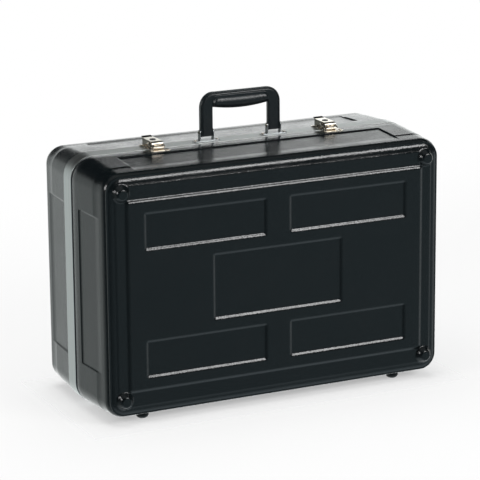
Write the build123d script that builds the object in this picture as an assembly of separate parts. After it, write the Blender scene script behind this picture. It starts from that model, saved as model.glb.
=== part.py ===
from build123d import *
import os
from math import radians, tan

# Hard-shell telescope case standing on its hinge side, closed, handle up.
# X runs along its length, Y from the lid's face to the base's face, Z up.
# The origin is on the floor, under the middle of the box that holds the case.

# Case body
case_length = 636.0
case_height = 427.0
lid_depth = 127.5
base_depth = 146.0
draft = 3.0
corner_radius = 38.0
rim_radius = 16.0
wall = 2.6
rim_gap = 2.75
foot_height = 6.0

# Relief moulded into the walls
pad_step = 0.8
band_depth = 48.0
recess_step = 1.0
recess_end_margin = 72.2
recess_side_margin = 80.5
recess_face_margin = 26.0
recess_ramp = 10.0
lid_recess_start = 23.5
base_recess_gap = 14.0

# Relief moulded into the faces
panel_rise = 3.0
band_rise = 1.3
step_slope = 30.0
band_end_margin = 0.0
band_side_margin = 0.0
band_corner = 14.5
panel_end_margin = 21.0
panel_side_margin = 29.0
boss_notch_gap = 6.0
tile_end_margin = 30.4
tile_side_margin = 20.3
tile_height = 64.4
tile_gap = 42.6
tile_depth = 2.6
tile_corner = 4.0
centre_tile_length = 241.0
centre_tile_height = 114.2

# Corner bosses, the feet of the case when it lies flat
boss_end_inset = 12.3
boss_side_inset = 14.6
boss_base_radius = 15.0
boss_top_radius = 8.8
boss_height = 6.5
boss_round = 2.5

# Aluminium valances round the two rims
valance_width = 31.5
valance_thickness = 1.0
valance_lip = 1.2
valance_flange = 7.0
valance_edge_round = 0.8
valance_fit = 0.1
tongue_clearance = 0.6
tongue_thickness = 1.2
tongue_reach = 8.0
tongue_flange = 5.5
tongue_flange_gap = 0.5

# Seal in the parting groove
seal_inset = 2.5
seal_thickness = 2.5
seal_gap = 0.55

# Foam inserts
foam_clearance = 4.2
foam_lip_inset = 13.0
foam_lip_depth = 18.0
foam_top_gap = 3.0
tube_radius = 115.0
tube_length = 430.0
tube_offset = 8.0
foam_end_wall = 25.0
pocket_gap = 22.0
pocket_length = 110.0
pocket_height = 110.0
pocket_spacing = 20.0
pocket_depth = 70.0
finder_radius = 26.0
finder_length = 210.0
finder_height = 158.0
tray_length = 210.0
tray_height = 46.0
tray_depth = 60.0

# Rubber feet
foot_inset = 35.7
foot_spacing = 476.4
foot_radius = 11.0
foot_sole_radius = 5.5
foot_dome = 1.3
foot_screw_radius = 2.0
foot_screw_head = 3.6
foot_screw_head_height = 2.2
foot_screw_sink = 3.0

# Rivets
rivet_radius = 1.8
rivet_head_radius = 2.8
rivet_head_height = 1.5
rivet_tail_radius = 2.6
rivet_tail_height = 1.1
head_dome = 0.8
hole_clearance = 0.1

# Handle and its brackets
handle_spacing = 127.0
handle_y = 18.0
handle_pin_height = 15.2
handle_pin_radius = 2.0
pin_clearance = 0.05
bracket_length = 51.0
bracket_width = 12.0
bracket_end_radius = 5.5
bracket_thickness = 1.2
bracket_rivet_spacing = 40.0
ear_gap = 23.6
ear_thickness = 1.2
ear_width = 9.0
pin_head_radius = 3.4
pin_head_height = 1.4
leg_width = 22.7
leg_thickness = 9.0
leg_end_drop = 7.7
grip_top = 83.0
grip_height = 27.0
grip_belly = 3.4
grip_depth = 22.0
grip_end_drop = 0.07
grip_stations = [(-1, 0.5), (-0.8, 0.86), (-0.4, 0.98), (0, 1), (0.4, 0.98), (0.8, 0.86), (1, 0.5)]
handle_corner = 25.0
inner_corner = 5.0
core_width = 13.0
core_thickness = 3.0
eyelet_radius = 4.0
eyelet_inset = 0.5
backing_margin = 6.0
backing_thickness = 1.2

# Draw latches with a key lock
latch_spacing = 326.0
latch_plate_width = 34.0
latch_plate_front = 3.2
latch_plate_rear = 38.5
latch_plate_thickness = 1.0
latch_rivet_front = 13.5
latch_rivet_rear = 31.0
latch_rivet_spacing = 28.4
lever_width = 20.0
lever_rear = 39.0
lever_top = 12.9
lever_sheet = 1.2
lever_bottom = 1.5
lever_pivot_y = 1.5
lever_pivot_z = 8.0
lever_pivot_radius = 1.5
lever_lip = 5.0
lever_lip_rise = 1.6
front_slot = 3.0
cheek_gap = 0.4
cheek_thickness = 1.2
cheek_rear = 10.0
cheek_radius = 3.0
stub_head_radius = 2.5
stub_head = 0.9
stub_flare = 0.2
bail_pin_y = 9.5
bail_pin_z = 9.2
bail_pin_radius = 1.2
bail_wire = 1.3
bail_gap = 0.7
bail_eye_radius = 2.2
bail_bar_y = -7.3
bail_bar_z = 3.4
keeper_width = 36.0
keeper_front = -19.0
keeper_lip_y = -5.2
keeper_lip_height = 5.6
keeper_lip_width = 18.0
keeper_thickness = 1.2
keeper_rivet_spacing = 28.0
keeper_rivet_y = -12.0

# Key lock in each lever
lock_y = 16.6
plug_radius = 4.0
plug_head_radius = 5.2
plug_head = 0.8
plug_gap = 0.1
cam_reach = 8.2
cam_width = 4.0
cam_thickness = 1.2
cam_height = 4.2
keyhole_length = 5.0
keyhole_width = 1.6
strike_gap = 5.8
strike_thickness = 1.2
strike_clearance = 0.6
strike_width = 12.0
strike_post = 3.0
strike_bar = 1.4

# Hinges on the bottom edge
hinge_spacing = 326.0
hinge_length = 56.0
hinge_leaf_width = 19.0
hinge_leaf_thickness = 1.2
hinge_drop = 0.9
knuckle_radius = 2.4
hinge_pin_radius = 1.25
hinge_rivet_y = 14.0
hinge_rivet_spacing = 40.0
knuckle_gap = 0.3
hinge_stop_drop = 2.8
hinge_stop_length = 8.0

# Places that follow from the sizes
parting_y = (lid_depth - base_depth) / 2
centre_z = case_height / 2 + foot_height
top_z = centre_z + case_height / 2
bottom_z = centre_z - case_height / 2
shell_skin = pad_step + recess_step + wall
valance_cover = valance_thickness + valance_fit
valance_end = rim_gap + valance_width
flange_offset = valance_cover + shell_skin + valance_fit
tongue_offset = flange_offset + valance_thickness + tongue_clearance
base_edge = rim_gap + valance_lip + valance_fit
hinge_y = parting_y
hinge_z = bottom_z - hinge_drop
lever_barrel = lever_top - lever_pivot_z

lid_frame = Plane(origin=(0, parting_y, centre_z), x_dir=(1, 0, 0), z_dir=(0, -1, 0))
base_frame = Plane(origin=(0, parting_y, centre_z), x_dir=(1, 0, 0), z_dir=(0, 1, 0))


def block(x0, x1, y0, y1, z0, z1):
    """A box between two corners."""
    size = Box(x1 - x0, y1 - y0, z1 - z0)
    return Pos((x0 + x1) / 2, (y0 + y1) / 2, (z0 + z1) / 2) * size


def rod_x(radius, x0, x1, y, z):
    """A round bar along X."""
    return Pos((x0 + x1) / 2, y, z) * Rot(0, 90, 0) * Cylinder(radius, x1 - x0)


def rod_z(radius, x, y, z0, z1):
    """A round bar along Z."""
    return Pos(x, y, (z0 + z1) / 2) * Cylinder(radius, z1 - z0)


def side_profile(points, x0, x1):
    """A closed outline in the Y-Z plane, carried along X."""
    outline = Polyline(*[(x0, y, z) for y, z in points], close=True)
    return extrude(make_face(outline), amount=x1 - x0, dir=(1, 0, 0))


def inset(depth, straight):
    """How far the draft has drawn a wall in at a depth behind the parting plane."""
    return max(0.0, depth - straight) * tan(radians(draft))


def drafted_block(length, height, radius, z0, z1, straight):
    """A rounded rectangle carried from z0 to z1, straight at first and then drawn in."""
    body = Part()
    if z0 < straight:
        first = Pos(0, 0, z0) * RectangleRounded(length, height, radius)
        body += extrude(first, amount=min(z1, straight) - z0)
    start = max(z0, straight)
    if z1 > start:
        cut = inset(start, straight)
        outline = RectangleRounded(length - 2 * cut, height - 2 * cut, radius - cut)
        body += extrude(Pos(0, 0, start) * outline, amount=z1 - start, taper=draft)
    return body


def outline_ring(outer, inner, z0, z1):
    """A ring that follows the case outline, between two distances inside it."""
    big = RectangleRounded(case_length - 2 * outer, case_height - 2 * outer, corner_radius - outer)
    small = RectangleRounded(case_length - 2 * inner, case_height - 2 * inner, corner_radius - inner)
    return extrude(Pos(0, 0, z0) * (big - small), amount=z1 - z0)


class HalfShell:
    """One moulded half of the case, in a frame whose Z runs from the parting plane to its face."""

    def __init__(self, length, height, radius, depth, straight, edge, top_recess, end_recess):
        self.length, self.height, self.radius = length, height, radius
        self.depth, self.straight, self.edge = depth, straight, edge
        self.groove_z = depth - panel_rise - band_rise
        self.band_z = depth - panel_rise
        drawn = pad_step + inset(self.groove_z, straight)
        self.band_x = length / 2 - drawn - rim_radius - band_end_margin
        self.band_y = height / 2 - drawn - rim_radius - band_side_margin
        self.panel_x = self.band_x - panel_end_margin
        self.panel_y = self.band_y - panel_side_margin
        self.boss_x = self.band_x - boss_end_inset
        self.boss_y = self.band_y - boss_side_inset
        self.inner_z = self.groove_z - wall
        self.filled = self.make_outside(top_recess, end_recess)
        self.solid = self.filled - self.make_inside()

    def make_outside(self, top_recess, end_recess):
        """The outside of the moulding, with no hollow in it."""
        length, height, radius = self.length, self.height, self.radius
        body = drafted_block(
            length - 2 * pad_step, height - 2 * pad_step, radius - pad_step,
            self.edge, self.groove_z, self.straight,
        )
        body = fillet(body.faces().sort_by(Axis.Z)[-1].edges(), rim_radius)
        pad_end = self.depth - band_depth
        body += drafted_block(length, height, radius, self.edge, pad_end, self.straight)
        body -= self.wall_recess(height / 2, length / 2 - recess_end_margin, top_recess)
        ends = self.wall_recess(length / 2, height / 2 - recess_side_margin, end_recess)
        body -= Rot(0, 0, 90) * ends
        band = RectangleRounded(2 * self.band_x, 2 * self.band_y, band_corner)
        body += extrude(Pos(0, 0, self.groove_z - wall) * band, amount=wall + band_rise)
        body += self.raised_panel()
        for x, y, length, height in self.tiles():
            body -= self.sunk_tile(x, y, length, height)
        for x in (-self.boss_x, self.boss_x):
            for y in (-self.boss_y, self.boss_y):
                body += self.boss(x, y)
        return body

    def wall_recess(self, distance, half_span, start):
        """The shallow recesses of two opposite walls, which run out in a ramp near the face."""
        floor = pad_step + recess_step
        end = self.depth - recess_face_margin

        def at(z, sunk):
            return (distance - inset(z, self.straight) - sunk, z)

        points = [at(start, floor), at(end - recess_ramp, floor), at(end, pad_step)]
        points += [at(end, -wall), at(start, -wall)]
        cut = side_profile(points, -half_span, half_span)
        return cut + Rot(0, 0, 180) * cut

    def raised_panel(self):
        """The raised middle of the face, with its corners notched round the bosses."""
        panel = Rectangle(2 * self.panel_x, 2 * self.panel_y)
        for x in (-self.boss_x, self.boss_x):
            for y in (-self.boss_y, self.boss_y):
                panel -= Pos(x, y) * Circle(boss_base_radius + boss_notch_gap)
        return extrude(Pos(0, 0, self.band_z) * panel, amount=panel_rise, taper=step_slope)

    def tiles(self):
        """Centres and sizes of the five sunk tiles in the panel."""
        outer_x = self.panel_x - tile_end_margin
        outer_y = self.panel_y - tile_side_margin
        length = outer_x - tile_gap / 2
        x = tile_gap / 2 + length / 2
        y = outer_y - tile_height / 2
        corners = [(sx * x, sy * y, length, tile_height) for sx in (-1, 1) for sy in (-1, 1)]
        return corners + [(0, 0, centre_tile_length, centre_tile_height)]

    def sunk_tile(self, x, y, length, height):
        """The cut for one sunk tile, with sloping sides."""
        slope = tile_depth * tan(radians(step_slope))
        floor = RectangleRounded(length - 2 * slope, height - 2 * slope, tile_corner)
        place = Pos(x, y, self.depth - tile_depth)
        return extrude(place * floor, amount=2 * tile_depth, taper=-step_slope)

    def boss(self, x, y):
        """A moulded corner boss, a truncated cone with a rounded top edge."""
        height = panel_rise + boss_height + wall
        slope = (boss_base_radius - boss_top_radius) / (panel_rise + boss_height)
        foot = boss_base_radius + slope * wall
        cone = Cone(foot, boss_top_radius, height, align=(Align.CENTER, Align.CENTER, Align.MIN))
        cone = fillet(cone.edges().sort_by(Axis.Z)[-1], boss_round)
        return Pos(x, y, self.band_z - wall) * cone

    def make_inside(self):
        """The hollow of the moulding, which follows the panel and its tiles."""
        room = drafted_block(
            self.length - 2 * shell_skin, self.height - 2 * shell_skin, self.radius - shell_skin,
            self.edge - wall, self.inner_z, self.straight,
        )
        room = fillet(room.faces().sort_by(Axis.Z)[-1].edges(), rim_radius - wall)
        relief = 2 * (wall + panel_rise * tan(radians(step_slope)))
        panel = Rectangle(2 * self.panel_x - relief, 2 * self.panel_y - relief)
        for x in (-self.boss_x, self.boss_x):
            for y in (-self.boss_y, self.boss_y):
                panel -= Pos(x, y) * Circle(boss_base_radius + boss_notch_gap + wall)
        top = self.depth - wall
        low = self.inner_z - wall
        room += extrude(Pos(0, 0, low) * panel, amount=top - low)
        for x, y, length, height in self.tiles():
            rise = extrude(
                Pos(x, y, top - tile_depth) * Rectangle(length + 2 * wall, height + 2 * wall),
                amount=2 * tile_depth,
            )
            room -= rise
        return room

    def inner_block(self, z0, z1, clearance):
        """A block that fills the hollow between two depths, less a clearance."""
        skin = 2 * (shell_skin + clearance)
        radius = self.radius - shell_skin - clearance
        return drafted_block(self.length - skin, self.height - skin, radius, z0, z1, self.straight)


def make_lid_shell():
    return HalfShell(
        case_length, case_height, corner_radius, lid_depth, 0.0, rim_gap,
        lid_recess_start, lid_recess_start,
    )


def make_base_shell():
    return HalfShell(
        case_length - 2 * valance_cover, case_height - 2 * valance_cover,
        corner_radius - valance_cover, base_depth, valance_end, base_edge,
        valance_end + base_recess_gap, valance_end,
    )


def base_valance():
    """A U channel that wraps the rim of the base, with a wide outer face."""
    channel = outline_ring(0, valance_thickness, rim_gap, valance_end)
    inner = flange_offset + valance_thickness
    channel += outline_ring(0, inner, rim_gap, rim_gap + valance_lip)
    channel += outline_ring(flange_offset, inner, rim_gap, rim_gap + valance_flange)
    front = channel.faces().sort_by(Axis.Z)[0]
    return fillet(front.outer_wire().edges(), valance_edge_round)


def lid_valance():
    """An angle inside the lid's rim whose tongue reaches into the base."""
    flange = shell_skin + tongue_flange_gap
    inner = tongue_offset + tongue_thickness
    web_end = rim_gap + tongue_thickness
    ring = outline_ring(flange, flange + tongue_thickness, rim_gap, rim_gap + tongue_flange)
    ring += outline_ring(flange, inner, rim_gap, web_end)
    ring += outline_ring(tongue_offset, inner, -tongue_reach, web_end)
    return ring


def rim_seal():
    """A rubber ring on the front of the base's valance, sunk in the parting groove."""
    return outline_ring(seal_inset, seal_inset + seal_thickness, seal_gap - rim_gap, rim_gap)


def foam_block(half, lip_depth):
    """A foam insert with a narrower lip where it passes the valances."""
    end = half.inner_z - foam_clearance
    foam = half.inner_block(lip_depth, end, foam_clearance)
    lip = RectangleRounded(
        case_length - 2 * foam_lip_inset, case_height - 2 * foam_lip_inset,
        corner_radius - foam_lip_inset,
    )
    return foam + extrude(Pos(0, 0, foam_top_gap) * lip, amount=lip_depth - foam_top_gap)


def tube_start():
    """The end of the tube's hollow, near the -X end of the foam."""
    return -(case_length / 2 - foam_lip_inset - foam_end_wall)


def foam_hollows():
    """What the telescope's tube and finder take out of the two foam inserts."""
    x0 = tube_start()
    y0, z0 = parting_y + tube_offset, centre_z
    tube = rod_x(tube_radius, x0, x0 + tube_length, y0, z0)
    finder = rod_x(finder_radius, x0, x0 + finder_length, parting_y, z0 + finder_height)
    return tube + finder


def accessory_pockets():
    """Three square pockets beside the tube and a long tray under it, all in the base."""
    x0 = tube_start() + tube_length + pocket_gap
    y1 = parting_y + foam_top_gap + pocket_depth
    cut = Part()
    for row in (-1, 0, 1):
        z = centre_z + row * (pocket_height + pocket_spacing)
        half = pocket_height / 2
        cut += block(x0, x0 + pocket_length, parting_y, y1, z - half, z + half)
    tray_z = centre_z - finder_height
    tray_y = parting_y + foam_top_gap + tray_depth
    x1 = tube_start() + tray_length
    cut += block(tube_start(), x1, parting_y, tray_y, tray_z - tray_height / 2, tray_z + tray_height / 2)
    return cut


def foot_places(face_y, inward):
    """Where the two feet of one half stand; inward is the direction from its face to the parting."""
    y = face_y + inward * foot_inset
    return [(-foot_spacing / 2, y), (foot_spacing / 2, y)]


def rubber_foot(x, y, shell):
    """A domed foot with a flat sole and a sunk hole for its screw, cut to the wall above it."""
    height = foot_height * 3
    sole_rise = foot_radius - foot_sole_radius
    with BuildSketch(Plane.XZ) as section:
        with BuildLine():
            Line((0, 0), (foot_sole_radius, 0))
            RadiusArc((foot_sole_radius, 0), (foot_radius, sole_rise), -sole_rise * foot_dome)
            Line((foot_radius, sole_rise), (foot_radius, height))
            Line((foot_radius, height), (0, height))
            Line((0, height), (0, 0))
        make_face()
    dome = Pos(x, y, 0) * revolve(section.sketch, Axis.Z)
    dome -= shell
    top = foot_screw_sink + foot_screw_head_height
    dome -= rod_z(foot_screw_head + hole_clearance, x, y, -foot_height, top)
    dome -= rod_z(foot_screw_radius + hole_clearance, x, y, 0, height)
    return dome.solids().sort_by(Axis.Z)[0]


def foot_screw(x, y, tip_z):
    """A pan-head screw up through a foot and the wall."""
    head_top = foot_screw_sink + foot_screw_head_height
    head = rod_z(foot_screw_head, x, y, foot_screw_sink, head_top)
    head = fillet(head.edges().sort_by(Axis.Z)[0], foot_screw_head_height / 3)
    return head + rod_z(foot_screw_radius, x, y, head_top, tip_z)


def rivet(grip):
    """A rivet along Z with its head above zero, its shank down through the grip and a flat tail."""
    head = rod_z(rivet_head_radius, 0, 0, 0, rivet_head_height)
    head = fillet(head.edges().sort_by(Axis.Z)[-1], rivet_head_height * head_dome)
    shank = rod_z(rivet_radius, 0, 0, -grip, 0)
    tail = rod_z(rivet_tail_radius, 0, 0, -grip - rivet_tail_height, -grip)
    return head + shank + tail


def rivet_hole(grip):
    """The hole that a rivet passes through."""
    return rod_z(rivet_radius + hole_clearance, 0, 0, -2 * grip, grip)


def group(shapes):
    """Separate solids kept together in one node."""
    return Compound(children=[s for shape in shapes for s in shape.solids()])


def on_lid_top(shape):
    """Moves a piece from the parting edge onto the sloping top wall of the lid."""
    return Pos(0, parting_y, top_z) * Rot(draft, 0, 0) * shape


def on_lid_bottom(shape):
    """Moves a piece from the parting edge onto the sloping bottom wall of the lid."""
    return Pos(0, parting_y, bottom_z) * Rot(-draft, 0, 0) * shape


def on_base_top(shape):
    """Moves a piece from the parting edge onto the flat top of the valance."""
    return Pos(0, parting_y, top_z) * shape


def on_base_bottom(shape):
    """Moves a piece from the parting edge onto the flat bottom of the valance."""
    return Pos(0, parting_y, bottom_z) * shape


def sides(spacing):
    """The two places of a pair, with the name that each carries."""
    return (("left", -spacing / 2), ("right", spacing / 2))


def bracket_rivet_places():
    """Plan positions of the four bracket rivets."""
    half = bracket_rivet_spacing / 2
    return [(x + d, handle_y) for _, x in sides(handle_spacing) for d in (-half, half)]


def latch_rivet_places(x):
    """Plan positions of one latch plate's four rivets."""
    half = latch_rivet_spacing / 2
    return [(x + d, y) for d in (-half, half) for y in (latch_rivet_front, latch_rivet_rear)]


def keeper_rivet_places(x):
    """Plan positions of one keeper's two rivets."""
    half = keeper_rivet_spacing / 2
    return [(x - half, keeper_rivet_y), (x + half, keeper_rivet_y)]


def hinge_rivet_places(x, side):
    """Plan positions of the three rivets in one hinge leaf; side is +1 on the base, -1 on the lid."""
    half = hinge_rivet_spacing / 2
    return [(x + d, side * hinge_rivet_y) for d in (-half, 0, half)]


def handle_bracket(x):
    """A plate with two ears that hold one end of the handle's pin."""
    y0, y1 = handle_y - bracket_width / 2, handle_y + bracket_width / 2
    plate = block(x - bracket_length / 2, x + bracket_length / 2, y0, y1, 0, bracket_thickness)
    plate = fillet(plate.edges().filter_by(Axis.Z), bracket_end_radius)
    for side in (-1, 1):
        inner = x + side * ear_gap / 2
        outer = inner + side * ear_thickness
        low, high = min(inner, outer), max(inner, outer)
        half = ear_width / 2
        plate += block(low, high, handle_y - half, handle_y + half, 0, handle_pin_height)
        plate += rod_x(half, low, high, handle_y, handle_pin_height)
    plate -= rod_x(handle_pin_radius + hole_clearance, x - ear_gap, x + ear_gap, handle_y, handle_pin_height)
    half = bracket_rivet_spacing / 2
    for d in (-half, half):
        plate -= rod_z(rivet_radius + hole_clearance, x + d, handle_y, -1, bracket_thickness + 1)
    return on_base_top(plate)


def handle_pin(x):
    """A riveted pin across one bracket, with a domed head at each end."""
    reach = ear_gap / 2 + ear_thickness
    pin = rod_x(handle_pin_radius, x - reach, x + reach, handle_y, handle_pin_height)
    for side in (-1, 1):
        near, far = x + side * reach, x + side * (reach + pin_head_height)
        head = rod_x(pin_head_radius, min(near, far), max(near, far), handle_y, handle_pin_height)
        rim = head.edges().sort_by(Axis.X)[-1 if side > 0 else 0]
        pin += fillet(rim, pin_head_height * head_dome)
    return on_base_top(pin)


def handle_core():
    """A steel strap bent down at both ends, with an eyelet round each pin."""
    half = handle_spacing / 2
    top = grip_top - grip_height / 2
    y0, y1 = handle_y - core_thickness / 2, handle_y + core_thickness / 2
    bar = core_width / 2
    strap = block(-half - bar, half + bar, y0, y1, top - bar, top + bar)
    for x in (-half, half):
        strap += block(x - bar, x + bar, y0, y1, handle_pin_height, top)
    strap = fillet(strap.edges().filter_by(Axis.Y).group_by(Axis.Z)[-1], handle_corner / 2)
    eyelet_length = leg_width / 2 - eyelet_inset
    for x in (-half, half):
        strap += rod_x(eyelet_radius, x - eyelet_length, x + eyelet_length, handle_y, handle_pin_height)
    for x in (-half, half):
        bore = handle_pin_radius + pin_clearance
        strap -= rod_x(bore, x - leg_width, x + leg_width, handle_y, handle_pin_height)
    return on_base_top(strap)


def handle_grip(core):
    """The leather cover: two flat legs, rounded corners and a padded grip that is fuller in the middle."""
    half = handle_spacing / 2
    outer = half + leg_width / 2
    inner = half - leg_width / 2
    foot = handle_pin_height - leg_end_drop
    under = grip_top - grip_height
    with BuildSketch(Plane.XZ) as arch:
        with Locations((0, (grip_top + foot) / 2)):
            Rectangle(2 * outer, grip_top - foot)
        fillet(arch.vertices().group_by(Axis.Y)[-1], handle_corner)
        with Locations((0, (under + foot) / 2 - foot)):
            Rectangle(2 * inner, under + foot, mode=Mode.SUBTRACT)
    cover = Pos(0, handle_y + leg_thickness / 2, 0) * extrude(arch.sketch, amount=leg_thickness)
    rounded = cover.edges().filter_by(Axis.Y).filter_by(lambda e: abs(e.center().Z - under) < 0.1)
    cover = fillet(rounded, inner_corner)
    cover = fillet(cover.edges().filter_by(Axis.Z), leg_thickness / 4)
    sections = []
    for place, fullness in grip_stations:
        drop = grip_belly * (1 - place * place)
        tall = (grip_height + drop) / 2
        centre = grip_top - tall
        oval = Ellipse(grip_depth / 2 * fullness, tall * (1 - grip_end_drop * (1 - fullness)))
        frame = Plane(origin=(place * inner, handle_y, centre), x_dir=(0, 1, 0), z_dir=(1, 0, 0))
        sections.append(frame * oval)
    cover += loft(sections)
    cover = on_base_top(cover) - core
    for x in (-half, half):
        bore = handle_pin_radius + pin_clearance
        cover -= on_base_top(rod_x(bore, x - leg_width, x + leg_width, handle_y, handle_pin_height))
    return cover


def backing_plate():
    """A steel strip inside the top wall that spreads the handle's pull."""
    reach = handle_spacing / 2 + bracket_rivet_spacing / 2 + backing_margin
    half = bracket_width / 2
    z1 = -valance_cover - shell_skin
    plate = block(-reach, reach, handle_y - half, handle_y + half, z1 - backing_thickness, z1)
    for x, y in bracket_rivet_places():
        plate -= rod_z(rivet_radius + hole_clearance, x, y, z1 - 2 * backing_thickness, z1 + 1)
    return on_base_top(plate)


def latch_plate(x):
    """The latch's base: a riveted plate with two cheeks for the lever and a strike for the lock."""
    half = latch_plate_width / 2
    plate = block(x - half, x + half, latch_plate_front, latch_plate_rear, 0, latch_plate_thickness)
    plate = fillet(plate.edges().filter_by(Axis.Z), latch_plate_front)
    cheek_out = lever_width / 2 - lever_sheet - cheek_gap
    top = lever_pivot_z + cheek_radius
    outline = [
        (latch_plate_front, 0), (cheek_rear, 0), (cheek_rear, lever_pivot_z - cheek_radius),
        (lever_pivot_y + cheek_radius, top), (lever_pivot_y, top),
    ]
    for side in (-1, 1):
        inner = x + side * (cheek_out - cheek_thickness)
        outer = x + side * cheek_out
        low, high = min(inner, outer), max(inner, outer)
        plate += side_profile(outline, low, high)
        plate += rod_x(cheek_radius, low, high, lever_pivot_y, lever_pivot_z)
    bore = lever_pivot_radius + hole_clearance
    plate -= rod_x(bore, x - half, x + half, lever_pivot_y, lever_pivot_z)
    for px, py in latch_rivet_places(x):
        plate -= rod_z(rivet_radius + hole_clearance, px, py, -1, latch_plate_thickness + 1)
    return on_base_top(plate + strike(x))


def strike(x):
    """A post with a bar over the cam's path, which holds the lever down when the cam is under it."""
    y0 = lock_y + strike_gap
    y1 = y0 + strike_thickness
    roof = cam_height + cam_thickness + strike_clearance
    half = strike_width / 2
    post = block(x - half, x - half + strike_post, y0, y1, 0, roof)
    return post + block(x - half, x + half, y0, y1, roof, roof + strike_bar)


def lever_stubs(x):
    """The two short rivets that the lever turns on."""
    cheek_in = lever_width / 2 - lever_sheet - cheek_gap - cheek_thickness
    pieces = []
    for side in (-1, 1):
        inner = x + side * (cheek_in - stub_head)
        seat = x + side * cheek_in
        outer = x + side * (lever_width / 2 + stub_flare)
        stub = rod_x(lever_pivot_radius, min(inner, outer), max(inner, outer), lever_pivot_y, lever_pivot_z)
        stub += rod_x(stub_head_radius, min(inner, seat), max(inner, seat), lever_pivot_y, lever_pivot_z)
        pieces.append(stub)
    return on_base_top(group(pieces))


def latch_lever(x):
    """A sheet cover with a thumb lip, rolled under at the front into a curl that turns between the cheeks."""
    half = lever_width / 2
    z1 = lever_top
    body = block(x - half, x + half, lever_pivot_y, lever_rear, lever_bottom, z1)
    body = fillet(body.edges().filter_by(Axis.Z).sort_by(Axis.Y)[-2:], 2 * lever_sheet)
    body += rod_x(lever_barrel, x - half, x + half, lever_pivot_y, lever_pivot_z)
    inner = half - lever_sheet
    rear = lever_rear - lever_sheet
    room = block(x - inner, x + inner, lever_pivot_y, rear, -1, z1 - lever_sheet)
    room += rod_x(lever_barrel - lever_sheet, x - inner, x + inner, lever_pivot_y, lever_pivot_z)
    front, back = lever_pivot_y - lever_barrel, lever_rear / 2
    room += block(x - inner, x + inner, front, back, -1, lever_pivot_z - lever_barrel / 2)
    curl = half - lever_sheet - 2 * cheek_gap - cheek_thickness
    for side in (-1, 1):
        x0, x1 = sorted((x + side * curl, x + side * inner))
        room += block(x0, x1, front, back, -1, lever_pivot_z)
    body -= room
    body -= block(x - half, x + half, lever_pivot_y, lever_rear, -1, lever_bottom)
    slot = front_slot / 2
    body -= block(x - slot, x + slot, lever_pivot_y - 2 * lever_barrel, lever_pivot_y, 0, lever_pivot_z)
    lip = [
        (lever_rear - lever_lip / 2, z1 - lever_sheet), (lever_rear, z1 - lever_sheet),
        (lever_rear + lever_lip, z1 + lever_lip_rise - lever_sheet / 2),
        (lever_rear + lever_lip, z1 + lever_lip_rise), (lever_rear - lever_lip / 2, z1),
    ]
    body += side_profile(lip, x - half + lever_sheet, x + half - lever_sheet)
    body -= rod_x(lever_pivot_radius + pin_clearance, x - half, x + half, lever_pivot_y, lever_pivot_z)
    body -= rod_x(bail_pin_radius, x - half, x + half, bail_pin_y, bail_pin_z)
    body -= rod_z(plug_radius + pin_clearance, x, lock_y, 0, z1 + 1)
    return on_base_top(body)


def bail_pins(x):
    """The two short pins, fixed in the lever's sides, that the bail swings on."""
    pieces = []
    for side in (-1, 1):
        inner = x + side * (lever_width / 2 - lever_sheet)
        outer = x + side * (lever_width / 2 + bail_gap + 2 * bail_wire)
        pieces.append(rod_x(bail_pin_radius, min(inner, outer), max(inner, outer), bail_pin_y, bail_pin_z))
    return on_base_top(group(pieces))


def bail(x):
    """A wire loop outside the lever: an eye on each pin, two arms and a bar in front of the keeper's lip."""
    arm_x = lever_width / 2 + bail_gap + bail_wire
    rise = bail_pin_z - bail_bar_z
    run = bail_pin_y - bail_bar_y
    path = FilletPolyline(
        (x - arm_x, bail_pin_y, bail_pin_z), (x - arm_x, bail_bar_y, bail_bar_z),
        (x + arm_x, bail_bar_y, bail_bar_z), (x + arm_x, bail_pin_y, bail_pin_z),
        radius=2 * bail_wire,
    )
    start = Plane(origin=path @ 0, z_dir=(0, -run, -rise))
    loop = sweep(start * Circle(bail_wire), path=path)
    for side in (-1, 1):
        near = x + side * (arm_x - bail_wire)
        far = x + side * (arm_x + bail_wire)
        loop += rod_x(bail_eye_radius, min(near, far), max(near, far), bail_pin_y, bail_pin_z)
    bore = bail_pin_radius + pin_clearance
    loop -= rod_x(bore, x - 2 * arm_x, x + 2 * arm_x, bail_pin_y, bail_pin_z)
    return on_base_top(loop)


def key_plug(x):
    """The lock's plug, with a head on the lever and a keyhole in it."""
    seat = lever_top + plug_gap
    bottom = cam_height + cam_thickness
    plug = rod_z(plug_radius, x, lock_y, bottom, seat + plug_head)
    head = rod_z(plug_head_radius, x, lock_y, seat, seat + plug_head)
    plug += fillet(head.edges().sort_by(Axis.Z)[-1], plug_head / 2)
    half = keyhole_width / 2
    low = lever_pivot_z
    plug -= block(x - half, x + half, lock_y - keyhole_length / 2, lock_y + keyhole_length / 2, low, 2 * seat)
    plug -= rod_z(keyhole_width, x, lock_y + keyhole_length / 4, low, 2 * seat)
    return on_base_top(plug)


def lock_cam(x):
    """A flat cam under the plug, which points along X when the latch is unlocked."""
    half = cam_width / 2
    z0, z1 = cam_height, cam_height + cam_thickness
    cam = block(x, x + cam_reach - half, lock_y - half, lock_y + half, z0, z1)
    cam += rod_z(half, x + cam_reach - half, lock_y, z0, z1)
    return on_base_top(cam + rod_z(plug_radius - hole_clearance, x, lock_y, z0, z1))


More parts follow.
